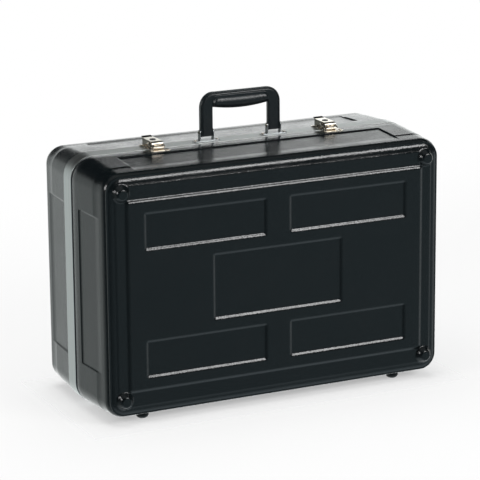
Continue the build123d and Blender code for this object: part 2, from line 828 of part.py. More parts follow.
def keeper(x):
    """A riveted plate on the lid whose rear edge turns up into a lip for the bail."""
    half = keeper_width / 2
    lip_rear = keeper_lip_y + keeper_thickness
    plate = block(x - half, x + half, keeper_front, lip_rear, 0, keeper_thickness)
    plate = fillet(plate.edges().filter_by(Axis.Z), 2 * keeper_thickness)
    half = keeper_lip_width / 2
    lip = block(x - half, x + half, keeper_lip_y, lip_rear, 0, keeper_lip_height)
    plate += fillet(lip.edges().filter_by(Axis.Y).group_by(Axis.Z)[-1], 2 * keeper_thickness)
    for px, py in keeper_rivet_places(x):
        plate -= rod_z(rivet_radius + hole_clearance, px, py, -1, keeper_thickness + 1)
    return on_lid_top(plate)


def knuckle_spans(x, side):
    """The stretches of X that a leaf's knuckles fill: two outer ones on the base, one on the lid."""
    half = hinge_length / 2
    third = hinge_length / 6
    if side > 0:
        return [(x - half, x - third - knuckle_gap), (x + third + knuckle_gap, x + half)]
    return [(x - third, x + third)]


def hinge_leaf(x, side):
    """A leaf with its knuckles and the two lugs that stop the lid; side is +1 on the base, -1 on the lid."""
    half = hinge_length / 2
    far = side * (hinge_leaf_width + knuckle_radius)
    near = side * (knuckle_radius + 3 * knuckle_gap)
    leaf = block(x - half, x + half, min(near, far), max(near, far), -hinge_leaf_thickness, 0)
    leaf = fillet(leaf.edges().filter_by(Axis.Z), hinge_leaf_thickness)
    for px, py in hinge_rivet_places(x, side):
        leaf -= rod_z(rivet_radius + hole_clearance, px, py, -2 * hinge_leaf_thickness, 1)
    for x0, x1 in knuckle_spans(x, side):
        tab_low, tab_high = min(0, near + side), max(0, near + side)
        leaf += block(x0, x1, tab_low, tab_high, -hinge_leaf_thickness, 0)
    lug_low, lug_high = sorted((near, near + side * hinge_leaf_thickness))
    for lug_side in (-1, 1):
        x0, x1 = sorted((x + lug_side * half, x + lug_side * (half - hinge_stop_length)))
        leaf += block(x0, x1, lug_low, lug_high, -hinge_drop - hinge_stop_drop, 0)
    place = on_base_bottom if side > 0 else on_lid_bottom
    leaf = place(leaf)
    for x0, x1 in knuckle_spans(x, side):
        leaf += rod_x(knuckle_radius, x0, x1, hinge_y, hinge_z)
    bore = hinge_pin_radius + pin_clearance
    return leaf - rod_x(bore, x - hinge_length, x + hinge_length, hinge_y, hinge_z)


def hinge_pin(x):
    """A plain pin through one hinge's knuckles."""
    half = hinge_length / 2
    return rod_x(hinge_pin_radius, x - half, x + half, hinge_y, hinge_z)


lid = make_lid_shell()
base = make_base_shell()
lid_shell = lid_frame.location * lid.solid
base_shell = base_frame.location * base.solid
lid_filled = lid_frame.location * lid.filled
base_filled = base_frame.location * base.filled
valance = base_frame.location * base_valance()

# Rivets and their holes
top_grip = valance_cover + shell_skin
bracket_rivets = []
for px, py in bracket_rivet_places():
    grip = top_grip + bracket_thickness + backing_thickness
    bracket_rivets.append(on_base_top(Pos(px, py, bracket_thickness) * rivet(grip)))
    base_shell -= on_base_top(Pos(px, py, 0) * rivet_hole(grip))
    valance -= on_base_top(Pos(px, py, 0) * rivet_hole(valance_thickness * 2))

latch_rivets = []
keeper_rivets = []
for _, x in sides(latch_spacing):
    for px, py in latch_rivet_places(x):
        grip = top_grip + latch_plate_thickness
        latch_rivets.append(on_base_top(Pos(px, py, latch_plate_thickness) * rivet(grip)))
        base_shell -= on_base_top(Pos(px, py, 0) * rivet_hole(grip))
        valance -= on_base_top(Pos(px, py, 0) * rivet_hole(valance_thickness * 2))
    for px, py in keeper_rivet_places(x):
        grip = shell_skin + keeper_thickness
        keeper_rivets.append(on_lid_top(Pos(px, py, keeper_thickness) * rivet(grip)))
        lid_shell -= on_lid_top(Pos(px, py, 0) * rivet_hole(grip))

base_hinge_rivets = []
lid_hinge_rivets = []
flip = Rot(180, 0, 0)
for _, x in sides(hinge_spacing):
    for px, py in hinge_rivet_places(x, 1):
        grip = top_grip + hinge_leaf_thickness
        place = Pos(px, py, -hinge_leaf_thickness) * flip
        base_hinge_rivets.append(on_base_bottom(place * rivet(grip)))
        base_shell -= on_base_bottom(Pos(px, py, 0) * rivet_hole(grip))
        valance -= on_base_bottom(Pos(px, py, 0) * rivet_hole(valance_thickness * 2))
    for px, py in hinge_rivet_places(x, -1):
        grip = shell_skin + hinge_leaf_thickness
        place = Pos(px, py, -hinge_leaf_thickness) * flip
        lid_hinge_rivets.append(on_lid_bottom(place * rivet(grip)))
        lid_shell -= on_lid_bottom(Pos(px, py, 0) * rivet_hole(grip))

# Feet and their screws
lid_feet, lid_screws, base_feet, base_screws = [], [], [], []
lid_face_y = parting_y - lid_depth
base_face_y = parting_y + base_depth
screw_tip = bottom_z + shell_skin + inset(lid_depth - foot_inset, 0) + foam_clearance / 2
for x, y in foot_places(lid_face_y, 1):
    lid_feet.append(rubber_foot(x, y, lid_filled))
    lid_screws.append(foot_screw(x, y, screw_tip))
    lid_shell -= rod_z(foot_screw_radius + hole_clearance, x, y, 0, 2 * screw_tip)
for x, y in foot_places(base_face_y, -1):
    base_feet.append(rubber_foot(x, y, base_filled))
    base_screws.append(foot_screw(x, y, screw_tip))
    base_shell -= rod_z(foot_screw_radius + hole_clearance, x, y, 0, 2 * screw_tip)

# Foam
hollows = foam_hollows()
lid_foam = lid_frame.location * foam_block(lid, foam_lip_depth) - hollows
base_foam = base_frame.location * foam_block(base, foam_lip_depth) - hollows - accessory_pockets()

nodes = {
    "lid_shell": lid_shell,
    "lid_valance": lid_frame.location * lid_valance(),
    "lid_foam": lid_foam,
    "lid_feet": group(lid_feet),
    "lid_foot_screws": group(lid_screws),
    "keeper_rivets": group(keeper_rivets),
    "lid_hinge_rivets": group(lid_hinge_rivets),
    "base_shell": base_shell,
    "base_valance": valance,
    "rim_seal": base_frame.location * rim_seal(),
    "base_foam": base_foam,
    "base_feet": group(base_feet),
    "base_foot_screws": group(base_screws),
    "base_hinge_rivets": group(base_hinge_rivets),
    "latch_rivets": group(latch_rivets),
    "bracket_rivets": group(bracket_rivets),
    "handle_backing_plate": backing_plate(),
}

for name, x in sides(hinge_spacing):
    nodes[f"hinge_base_leaf_{name}"] = hinge_leaf(x, 1)
    nodes[f"hinge_lid_leaf_{name}"] = hinge_leaf(x, -1)
    nodes[f"hinge_pin_{name}"] = hinge_pin(x)

for name, x in sides(handle_spacing):
    nodes[f"handle_bracket_{name}"] = handle_bracket(x)
    nodes[f"handle_pin_{name}"] = handle_pin(x)

for name, x in sides(latch_spacing):
    nodes[f"keeper_{name}"] = keeper(x)
    nodes[f"latch_plate_{name}"] = latch_plate(x)
    nodes[f"lever_stubs_{name}"] = lever_stubs(x)
    nodes[f"latch_lever_{name}"] = latch_lever(x)
    nodes[f"bail_pins_{name}"] = bail_pins(x)
    nodes[f"bail_{name}"] = bail(x)
    nodes[f"key_plug_{name}"] = key_plug(x)
    nodes[f"lock_cam_{name}"] = lock_cam(x)

core = handle_core()
nodes["handle_core"] = core
nodes["handle_grip"] = handle_grip(core)

os.makedirs("parts", exist_ok=True)
for node, shape in nodes.items():
    export_step(shape, f"parts/{node}.step")
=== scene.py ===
from math import cos, pi, radians, sin, tan

import bpy
import numpy as np
from mathutils import Matrix, Vector


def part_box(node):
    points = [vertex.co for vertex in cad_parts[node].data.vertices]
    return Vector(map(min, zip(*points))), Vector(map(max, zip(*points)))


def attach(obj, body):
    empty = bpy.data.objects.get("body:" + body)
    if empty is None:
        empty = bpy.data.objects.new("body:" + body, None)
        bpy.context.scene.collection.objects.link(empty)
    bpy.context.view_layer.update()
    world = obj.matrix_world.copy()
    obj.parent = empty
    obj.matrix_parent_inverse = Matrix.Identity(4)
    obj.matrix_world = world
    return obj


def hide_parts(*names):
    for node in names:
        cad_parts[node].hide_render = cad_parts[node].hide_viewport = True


bl_info = {
    "name": "Telescope Case",
    "version": (1, 0, 0),
    "blender": (4, 5, 0),
    "location": "View3D > Sidebar > Telescope Case",
    "description": "Dresses the frame of a hard-shell telescope case and sets its stage",
    "category": "Add Mesh",
}

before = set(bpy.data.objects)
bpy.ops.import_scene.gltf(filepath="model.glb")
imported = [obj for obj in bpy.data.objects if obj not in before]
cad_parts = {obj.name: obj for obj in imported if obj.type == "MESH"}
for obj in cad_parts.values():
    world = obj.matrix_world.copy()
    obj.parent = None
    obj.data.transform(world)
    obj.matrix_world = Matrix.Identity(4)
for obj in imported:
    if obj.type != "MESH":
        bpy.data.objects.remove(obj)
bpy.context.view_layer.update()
MM = 0.001

# The camera that took the photograph, worked out from the case's straight edges
IMAGE_SIDE = 480
FOCAL_PIXELS = 2500.5
SENSOR = 36.0
CAMERA_AZIMUTH = radians(25.699)
CAMERA_ELEVATION = radians(14.806)
CAMERA_ROLL = radians(-0.482)
CAMERA_PLACE = (-1.8078, -3.7448, 1.3523)

# Outline of the case and the walls of its two moulded halves
CORNER_RADIUS = 38 * MM
LID_DEPTH = 127.5 * MM
BASE_DEPTH = 146 * MM
DRAFT = radians(3)
RIM_GAP = 2.75 * MM
VALANCE_COVER = 1.1 * MM
BASE_EDGE = 4.05 * MM
SHELL_SKIN = 4.4 * MM
SHELL_WALL = 2.6 * MM
RIM_EDGE = 0.9 * MM
PAD_STEP = 0.8 * MM
PAD_CREASE = 2.0 * MM
PAD_CREASE_END = 9 * MM
BAND_DEPTH = 48 * MM
RECESS_STEP = 1.0 * MM
RECESS_STEP_WIDTH = 1.6 * MM
RECESS_END_MARGIN = 72.2 * MM
RECESS_SIDE_MARGIN = 80.5 * MM
RECESS_FACE_MARGIN = 26 * MM
RECESS_RAMP = 10 * MM
LID_RECESS_START = 23.5 * MM
BASE_RECESS_GAP = 14 * MM

# Relief of the two faces
BAND_CORNER = 14.5 * MM
PANEL_END_MARGIN = 21 * MM
PANEL_SIDE_MARGIN = 29 * MM
PANEL_CORNER = 2 * MM
TILE_END_MARGIN = 30.4 * MM
TILE_SIDE_MARGIN = 20.3 * MM
TILE_HEIGHT = 64.4 * MM
TILE_GAP = 42.6 * MM
TILE_CORNER = 4 * MM
CENTRE_TILE_LENGTH = 241 * MM
CENTRE_TILE_HEIGHT = 114.2 * MM
BOSS_END_INSET = 12.3 * MM
BOSS_SIDE_INSET = 14.6 * MM
BOSS_FOOT = 15 * MM
BOSS_TOP = 8.8 * MM
BOSS_HEIGHT = 6.5 * MM
BOSS_ROUND = 3.0 * MM
BOSS_FILLET = 1.6 * MM
BOSS_NOTCH = 3.5 * MM
STEP_SLOPE = 0.66
STEP_CREST = 1.5 * MM
STEP_FOOT = 0.4 * MM
PANEL_STEP_OUT = 2.6 * MM

# Foam inserts and what is cut out of them
FOAM_LIP_INSET = 13 * MM
FOAM_LIP_DEPTH = 18 * MM
FOAM_TOP_GAP = 3 * MM
FOAM_CLEARANCE = 4.2 * MM
FOAM_EDGE = 1.5 * MM
TUBE_START = -280 * MM
TUBE_LENGTH = 430 * MM
TUBE_RADIUS = 115 * MM
TUBE_OFFSET = 8 * MM
FINDER_LENGTH = 210 * MM
FINDER_RADIUS = 26 * MM
FINDER_HEIGHT = 158 * MM
POCKET_START = 172 * MM
POCKET_LENGTH = 110 * MM
POCKET_PITCH = 130 * MM
POCKET_DEPTH = 70 * MM
TRAY_LENGTH = 210 * MM
TRAY_HEIGHT = 46 * MM
TRAY_DEPTH = 60 * MM

# Handle
LEG_WIDTH = 22.7 * MM
LEG_THICKNESS = 9.4 * MM
LEG_ROUND = 1.5 * MM
GRIP_HEIGHT = 27 * MM
GRIP_DEPTH = 22 * MM
GRIP_BELLY = 4.6 * MM
ARCH_RADIUS = 13 * MM
CORNER_ROOM = 0.7 * MM
PAD_TOP = 6.5 * MM
PAD_FADE = 9 * MM
SEAM_INSET = 3.4 * MM
SEAM_WIDTH = 0.8 * MM
SEAM_DEPTH = 0.5 * MM
STITCH_PITCH = 3.6 * MM
STITCH_LENGTH = 2.8 * MM
STITCH_RADIUS = 0.32 * MM
STITCH_REACH = 0.98
STITCH_LIFT = STITCH_RADIUS * 0.6

# How square the strap is, how full the pad is, how far it thins out and how slantwise it fades, and how
# blunt a leg ends
STRAP_POWER = 7
PAD_POWER = 0.8
PAD_DIP = 0.06
PAD_SLANT = 0.5
LEG_END = 0.2

# Mesh spacing, and numbers of rings and sides
FINE = 1.1 * MM
REACH = 2.75 * MM
FACE_REACH = 5.5 * MM
COARSE = 12 * MM
FOAM_CUT = 0.3 * MM
FOAM_FINE = 3.0 * MM
FOAM_COARSE = 9.0 * MM
GRIP_STEP = 1.2 * MM
GRIP_SIDES = 120
STITCH_RINGS = 7
STITCH_SIDES = 6
RIM_RINGS = 16
EDGE_TURN = np.linspace(0, pi / 2, 5)[1:, None]
SHARP = radians(50)

# Camera, lamps and floor
KEY_PLACE = (1.3, -2.5, 1.85)
KEY_SIZE = (1.5, 1.0)
OVERHEAD_PLACE = (-0.2, 0.2, 2.4)
OVERHEAD_SIZE = (2.4, 1.6)
LEFT_PLACE = (-2.3, -0.35, 1.3)
LEFT_SIZE = (0.55, 0.75)
LAMP_AIM = (0.0, 0.0, 0.25)
CASE_HALF_SIZE = (0.318, 0.137, 0.0)
FLOOR_HALF_SIZE = 3.0
FLOOR_COLOUR = (0.9, 0.9, 0.9, 1.0)
WHITE = (1.0, 1.0, 1.0, 1.0)

# What stands round the case and shines in its gloss. A fade is where a part of the studio starts and
# where it is full, along one axis of the direction in which it is seen
DARK_STUDIO = "#101112"
FLOOR_LEFT = "#4C585C"
FLOOR_RIGHT = "#8B9DA3"
FLOOR_FADE = (0.02, -0.12)
SIDE_LIGHT = (0.62, 0.68, 0.7, 1.0)
SIDE_FADE = (0.72, 0.95)
DEEP_LIGHT = (0.55, 0.65, 0.7, 1.0)
DEEP_FADE = (-0.5, -0.85)
CEILING = (0.24, 0.25, 0.25, 1.0)
CEILING_FADE = (0.72, 0.95)
BACKDROP_LEFT = (0.48, 0.53, 0.52, 1.0)
BACKDROP_RIGHT = (1.6, 1.64, 1.63, 1.0)
BACKDROP_FADE = (0.0, 0.5)


def linear(code):
    """Turns an sRGB hex colour into linear red, green, blue and alpha.
    Below 0.04045 a channel is divided by 12.92, above it is ((c + 0.055) / 1.055) to the power 2.4."""
    values = np.array([int(code[i:i + 2], 16) / 255 for i in (1, 3, 5)])
    low = values / 12.92
    high = ((values + 0.055) / 1.055) ** 2.4
    return (*np.where(values <= 0.04045, low, high).tolist(), 1.0)


def add_node(tree, kind, settings=None, links=None):
    """Adds a node. Settings go to its properties. Links fill its inputs by name or number: a node or a
    socket is linked, and any other value is set."""
    node = tree.nodes.new(kind)
    for name, value in (settings or {}).items():
        setattr(node, name, value)
    for name, value in (links or {}).items():
        if isinstance(value, bpy.types.Node):
            value = value.outputs[0]
        if isinstance(value, bpy.types.NodeSocket):
            tree.links.new(value, node.inputs[name])
        else:
            node.inputs[name].default_value = value
    return node


# Kinds of node that come up often, each with its settings
NOISE = ("ShaderNodeTexNoise", None)
CELLS = ("ShaderNodeTexVoronoi", {"feature": "F1"})
STRETCH = ("ShaderNodeMapping", None)
BUMP = ("ShaderNodeBump", None)
RANGE = ("ShaderNodeMapRange", None)
FADE = ("ShaderNodeMapRange", {"interpolation_type": "SMOOTHSTEP"})
ADD = ("ShaderNodeMath", {"operation": "ADD"})
MULTIPLY = ("ShaderNodeMath", {"operation": "MULTIPLY"})
# Mixes the colours at its inputs 6 and 7 by the factor at 0, and gives the mix at the output MIXED
MIX = ("ShaderNodeMix", {"data_type": "RGBA"})
MIXED = 2
# The output of a texture coordinate node that gives a point on the object, in metres
PLACE = 3


def empty_tree(owner):
    """The node tree of a new material or world, with nothing in it."""
    owner.use_nodes = True
    owner.node_tree.nodes.clear()
    return owner.node_tree


def start_material(name):
    """A new material, its node tree, and the place of a point on the object, in metres."""
    material = bpy.data.materials.new(name)
    tree = empty_tree(material)
    return material, tree, add_node(tree, "ShaderNodeTexCoord").outputs[PLACE]


def end_material(material, mix, roughness, normal, others=None):
    """Adds the shader itself, in the colour that a mix gives, and the output."""
    inputs = {"Base Color": mix.outputs[MIXED], "Roughness": roughness, "Normal": normal, **(others or {})}
    shader = add_node(material.node_tree, "ShaderNodeBsdfPrincipled", None, inputs)
    add_node(material.node_tree, "ShaderNodeOutputMaterial", None, {"Surface": shader})
    return material


def shade(colour, factor):
    """A colour made lighter or darker by a factor."""
    return (*[min(1.0, c * factor) for c in colour[:3]], 1.0)


def moulded_abs(settings):
    # Black ABS, vacuum formed with a haircell grain: a dark body under an even, semi-gloss skin
    material, tree, place = start_material("black ABS haircell")
    # The real grain is about 0.4 mm, and is drawn at 2.2 mm so that it shows
    scale = 1 / settings.grain_size
    cells = add_node(
        tree, "ShaderNodeTexVoronoi", {"feature": "SMOOTH_F1"},
        {"Vector": place, "Scale": scale, "Smoothness": 0.6},
    )
    pebbles = add_node(tree, *NOISE, {"Vector": place, "Scale": scale / 2, "Detail": 3.0, "Roughness": 0.6})
    grain = add_node(tree, *ADD, {0: cells, 1: pebbles})
    fine = add_node(tree, *BUMP, {"Strength": 0.5, "Distance": 0.3 * MM, "Height": grain})
    # A thin wall comes out of its mould a little wavy
    waves = add_node(tree, *NOISE, {"Vector": place, "Scale": 1 / (90 * MM), "Detail": 1.0})
    wavy = add_node(tree, *BUMP, {"Strength": 0.3, "Distance": 1.2 * MM, "Height": waves, "Normal": fine})
    smears = add_node(
        tree, *NOISE, {"Vector": place, "Scale": 1 / (55 * MM), "Detail": 5.0, "Roughness": 0.62}
    )
    # Scuffs run up and down
    stretched = add_node(tree, *STRETCH, {"Vector": place, "Scale": (14.0, 14.0, 1.0)})
    scuffs = add_node(
        tree, *NOISE, {"Vector": stretched, "Scale": 1 / (60 * MM), "Detail": 6.0, "Roughness": 0.75}
    )
    scuffed = add_node(tree, *RANGE, {"Value": scuffs, "From Min": 0.68, "From Max": 0.82})
    colour = settings.shell_colour
    body = add_node(tree, *MIX, {0: smears, 6: shade(colour, 0.85), 7: shade(colour, 1.2)})
    worn = add_node(tree, *MIX, {0: scuffed, 6: body.outputs[MIXED], 7: shade(colour, 2.2)})
    gloss = add_node(
        tree, *RANGE, {"Value": smears, "From Min": 0.3, "From Max": 0.7, "To Min": 0.16, "To Max": 0.27}
    )
    return end_material(material, worn, gloss, wavy, {"IOR": 1.54})


def satin_aluminium(settings):
    # Anodised aluminium extrusion, brushed along its length: soft streaks that run round the rim
    material, tree, place = start_material("satin anodised aluminium")
    # Real brushing lines are about 0.1 mm apart, and are drawn at 0.5 mm so that they show
    lines = add_node(tree, *STRETCH, {"Vector": place, "Scale": (8.0, 2000.0, 8.0)})
    streaks = add_node(tree, *NOISE, {"Vector": lines, "Scale": 1.0, "Detail": 3.0, "Roughness": 0.55})
    bands = add_node(tree, *STRETCH, {"Vector": place, "Scale": (2.0, 220.0, 2.0)})
    broad = add_node(tree, *NOISE, {"Vector": bands, "Scale": 1.0, "Detail": 2.0})
    both = add_node(tree, *ADD, {0: streaks, 1: broad})
    tone = add_node(tree, *RANGE, {"Value": both, "From Min": 0.7, "From Max": 1.3})
    gloss = add_node(
        tree, *RANGE, {"Value": both, "From Min": 0.7, "From Max": 1.3, "To Min": 0.3, "To Max": 0.46}
    )
    colour = settings.aluminium_colour
    body = add_node(tree, *MIX, {0: tone, 6: shade(colour, 0.84), 7: shade(colour, 1.1)})
    edge = add_node(tree, "ShaderNodeBevel", {"samples": 4}, {"Radius": 0.25 * MM})
    brushed = add_node(
        tree, *BUMP, {"Strength": 0.12, "Distance": 0.05 * MM, "Height": streaks, "Normal": edge}
    )
    return end_material(material, body, gloss, brushed, {"Metallic": 1.0})


def plated_steel(name, colour, low, high, edge_radius):
    # Pressed steel sheet under plating: crisp reflections, edges softened by the plating, faint rubbing
    material, tree, place = start_material(name)
    rubbing = add_node(
        tree, *NOISE, {"Vector": place, "Scale": 1 / (5 * MM), "Detail": 5.0, "Roughness": 0.65}
    )
    gloss = add_node(
        tree, *RANGE, {"Value": rubbing, "From Min": 0.35, "From Max": 0.7, "To Min": low, "To Max": high}
    )
    body = add_node(tree, *MIX, {0: rubbing, 6: shade(colour, 0.9), 7: shade(colour, 1.06)})
    edge = add_node(tree, "ShaderNodeBevel", {"samples": 6}, {"Radius": edge_radius})
    ripple = add_node(tree, *NOISE, {"Vector": place, "Scale": 1 / (4 * MM), "Detail": 1.0})
    uneven = add_node(tree, *BUMP, {"Strength": 0.4, "Distance": 0.2 * MM, "Height": ripple, "Normal": edge})
    return end_material(material, body, gloss, uneven, {"Metallic": 1.0})


def moulded_rubber(settings):
    # Black rubber, moulded matt: a dusty bloom over a soft sheen
    material, tree, place = start_material("moulded black rubber")
    bloom = add_node(
        tree, *NOISE, {"Vector": place, "Scale": 1 / (3 * MM), "Detail": 5.0, "Roughness": 0.65}
    )
    colour = settings.rubber_colour
    body = add_node(tree, *MIX, {0: bloom, 6: shade(colour, 0.8), 7: shade(colour, 1.7)})
    gloss = add_node(tree, *RANGE, {"Value": bloom, "To Min": 0.5, "To Max": 0.72})
    bump = add_node(tree, *BUMP, {"Strength": 0.2, "Distance": 0.1 * MM, "Height": bloom})
    return end_material(material, body, gloss, bump, {"IOR": 1.52})


def grained_leather(settings):
    # Black grained leather with a light wax: pebbled, finely creased and softly shining
    material, tree, place = start_material("grained black leather")
    # The real pebbles are about 0.8 mm, and are drawn at 1.4 mm so that they show
    pebbles = add_node(tree, *CELLS, {"Vector": place, "Scale": 1 / (1.4 * MM)})
    creases = add_node(
        tree, *NOISE,
        {"Vector": place, "Scale": 1 / (3.5 * MM), "Detail": 4.0, "Roughness": 0.6, "Distortion": 0.6},
    )
    relief = add_node(tree, "ShaderNodeMath", {"operation": "MULTIPLY_ADD"}, {0: creases, 1: 1.2, 2: pebbles})
    bump = add_node(tree, *BUMP, {"Strength": 0.4, "Distance": 0.3 * MM, "Height": relief})
    colour = settings.leather_colour
    body = add_node(tree, *MIX, {0: creases, 6: shade(colour, 0.7), 7: shade(colour, 1.5)})
    gloss = add_node(
        tree, *RANGE, {"Value": creases, "From Min": 0.3, "From Max": 0.7, "To Min": 0.26, "To Max": 0.42}
    )
    return end_material(material, body, gloss, bump, {"IOR": 1.5})


def waxed_thread(settings):
    # Waxed polyester thread: two plies twisted together, with a dull shine
    material, tree, place = start_material("waxed polyester thread")
    plies = add_node(
        tree, "ShaderNodeTexWave", {"bands_direction": "DIAGONAL"}, {"Vector": place, "Scale": 1 / (2.5 * MM)}
    )
    colour = settings.thread_colour
    twist = plies.outputs["Fac"]
    body = add_node(tree, *MIX, {0: twist, 6: shade(colour, 0.7), 7: shade(colour, 1.3)})
    bump = add_node(tree, *BUMP, {"Strength": 0.4, "Distance": 0.1 * MM, "Height": twist})
    return end_material(material, body, 0.5, bump)


def cut_foam(settings):
    # Charcoal polyurethane foam, hot-wire cut: matt and full of small open cells
    material, tree, place = start_material("charcoal polyurethane foam")
    # The real cells are under 1 mm, and are drawn at 2.4 mm so that they show
    cells = add_node(tree, *CELLS, {"Vector": place, "Scale": 1 / (2.4 * MM)})
    # Each cell is drawn darker at its middle, where the bump sinks it: painted shade in the open pores
    tone = add_node(tree, *RANGE, {"Value": cells, "From Min": 0.1, "From Max": 0.7})
    colour = settings.foam_colour
    body = add_node(tree, *MIX, {0: tone, 6: shade(colour, 0.55), 7: shade(colour, 1.35)})
    bump = add_node(tree, *BUMP, {"Strength": 0.6, "Distance": 0.7 * MM, "Height": cells})
    return end_material(material, body, 0.95, bump, {"Sheen Weight": 0.25})


def ramp(distance, width):
    """How far up a soft step a point is: t * t * (3 - 2 * t), where t is distance / width held to 0..1."""
    t = np.clip(distance / width, 0.0, 1.0)
    return t * t * (3 - 2 * t)


def inside_box(x, z, half_x, half_z, radius):
    """Distance inside a rounded rectangle: the corner radius, less the length of the part of q above
    zero, less the larger of q where both are below zero, with q = |p| - half + radius."""
    qx = np.abs(x) - half_x + radius
    qz = np.abs(z) - half_z + radius
    outside = np.hypot(np.maximum(qx, 0), np.maximum(qz, 0))
    return radius - outside - np.minimum(np.maximum(qx, qz), 0)


def soft_min(a, b, blend):
    """The lower of two heights, rounded where they meet: the minimum, less (blend - |a - b|) squared
    over four blends where that bracket is above zero."""
    return np.minimum(a, b) - np.maximum(blend - np.abs(a - b), 0) ** 2 / (4 * blend)


def moulded_step(distance, height):
    """A soft step: the slope times the distance from its foot, held below the height and above zero by the
    rounded minimum, with a wide crest and a tight foot."""
    crest = soft_min(STEP_SLOPE * distance, height, STEP_CREST)
    return -soft_min(-crest, 0.0, STEP_FOOT)


def lines_near(end, edges, reach, fine, coarse):
    """Places from zero to end, coarse apart, and fine apart within reach of each edge."""
    close = [np.arange(edge - reach, edge + reach + fine / 2, fine) for edge in edges]
    places = np.concatenate([np.arange(0, end, coarse), *close])
    places = np.unique(np.round(places / fine)) * fine
    places = places[(places > fine / 2) & (places < end - fine / 2)]
    return np.concatenate([[0.0], places, [end]])


def mirrored(places):
    """The same places on both sides of zero."""
    return np.concatenate([-places[:0:-1], places])


def grid_quads(rows, columns, closed=False):
    """The corners of every cell of a grid whose points are numbered row by row. A closed grid's last
    column joins its first."""
    i = np.arange(rows - 1)[:, None]
    j = np.arange(columns if closed else columns - 1)[None, :]
    here, there, after = i * columns, (i + 1) * columns, (j + 1) % columns
    return np.stack(np.broadcast_arrays(here + j, here + after, there + after, there + j), -1).reshape(-1, 4)


def fill_mesh(name, points, quads, caps):
    """A mesh of quads, with one many-sided face for each cap, smooth but for its sharp edges."""
    mesh = bpy.data.meshes.new(name)
    corners = np.concatenate([quads.ravel(), *caps]).astype(np.int32)
    totals = np.concatenate([np.full(len(quads), 4), [len(cap) for cap in caps]]).astype(np.int32)
    mesh.vertices.add(len(points))
    mesh.vertices.foreach_set("co", np.asarray(points, np.float32).ravel())
    mesh.loops.add(len(corners))
    mesh.loops.foreach_set("vertex_index", corners)
    mesh.polygons.add(len(totals))
    mesh.polygons.foreach_set("loop_start", (np.cumsum(totals) - totals).astype(np.int32))
    mesh.polygons.foreach_set("loop_total", totals)
    mesh.update(calc_edges=True)
    mesh.polygons.foreach_set("use_smooth", np.ones(len(totals), bool))
    mesh.set_sharp_from_angle(angle=SHARP)
    return mesh


def add_piece(mesh, material, body):
    """Puts a mesh into the scene as a piece that rides on a body."""
    piece = bpy.data.objects.new(mesh.name, mesh)
    bpy.context.scene.collection.objects.link(piece)
    mesh.materials.append(material)
    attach(piece, body)
    return piece


def dress(material, *nodes):
    """Gives CAD nodes a material in place of the plain one that they came with."""
    for node in nodes:
        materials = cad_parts[node].data.materials
        materials.clear()
        materials.append(material)


def left_and_right(*names):
    """The left and the right node of each name."""
    return [f"{name}_{side}" for name in names for side in ("left", "right")]


class Outline:
    """The case's family of outlines: each lies its own radius outside the same core rectangle."""

    def __init__(self):
        low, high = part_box("base_valance")
        self.radius = CORNER_RADIUS
        self.core = np.array([(high[0] - low[0]) / 2, (high[2] - low[2]) / 2]) - self.radius
        self.centre_z = (high[2] + low[2]) / 2
        self.parting_y = low[1] - RIM_GAP
        self.valance_end = high[1] - self.parting_y

    def place(self, x, z, depth, side):
        """Points from a half's own frame, whose depth runs from the parting plane to its face."""
        return np.stack([x, self.parting_y + side * depth, z + self.centre_z], -1).reshape(-1, 3)


OUTLINE = Outline()


class Sheet:
    """A grid that fills a rounded rectangle. Beyond the core, a line's distance over the corner radius is
    a fraction, a along X and b along Z. A point lies a * sqrt(1 - b * b / 2) and b * sqrt(1 - a * a / 2)
    radii outside the core, which turns each corner square into a quarter disc, so that the grid's border
    is the rounded outline itself."""

    def __init__(self, lines_x, lines_z, radius):
        lines_x, lines_z = np.meshgrid(mirrored(lines_x), mirrored(lines_z), indexing="ij")
        core_x = np.clip(lines_x, -OUTLINE.core[0], OUTLINE.core[0])
        core_z = np.clip(lines_z, -OUTLINE.core[1], OUTLINE.core[1])
        a = (lines_x - core_x) / radius
        b = (lines_z - core_z) / radius
        out_x = a * np.sqrt(1 - b * b / 2)
        out_z = b * np.sqrt(1 - a * a / 2)
        self.x = core_x + radius * out_x
        self.z = core_z + radius * out_z
        numbers = np.arange(self.x.size).reshape(self.x.shape)
        edge = [numbers[:-1, 0], numbers[-1, :-1], numbers[:0:-1, -1], numbers[0, :0:-1]]
        self.border = np.concatenate(edge)
        self.core_x, self.core_z = core_x.ravel()[self.border], core_z.ravel()[self.border]
        self.out_x, self.out_z = out_x.ravel()[self.border], out_z.ravel()[self.border]

    def closed_mesh(self, name, sheet_depth, radii, depths, side, facing):
        """The sheet, then rings from its border that each lie their own radius outside the core at their
        own depth, then a flat cap inside the last ring. Facing is -1 where the sheet faces the parting."""
        sheet = OUTLINE.place(self.x, self.z, sheet_depth, side)
        depths = np.broadcast_to(depths, radii.shape)
        x, z = self.core_x + self.out_x * radii, self.core_z + self.out_z * radii
        rings = OUTLINE.place(x, z, depths, side)
        loop, rows = len(self.border), len(radii)
        numbers = np.concatenate([self.border, len(sheet) + np.arange(rows * loop)])
        ring_quads = numbers[grid_quads(rows + 1, loop, closed=True)]
        quads, cap = np.concatenate([grid_quads(*self.x.shape), ring_quads]), numbers[-loop:]
        if side * facing < 0:
            quads, cap = quads[:, ::-1], cap[::-1]
        return fill_mesh(name, np.concatenate([sheet, rings]), quads, [cap])


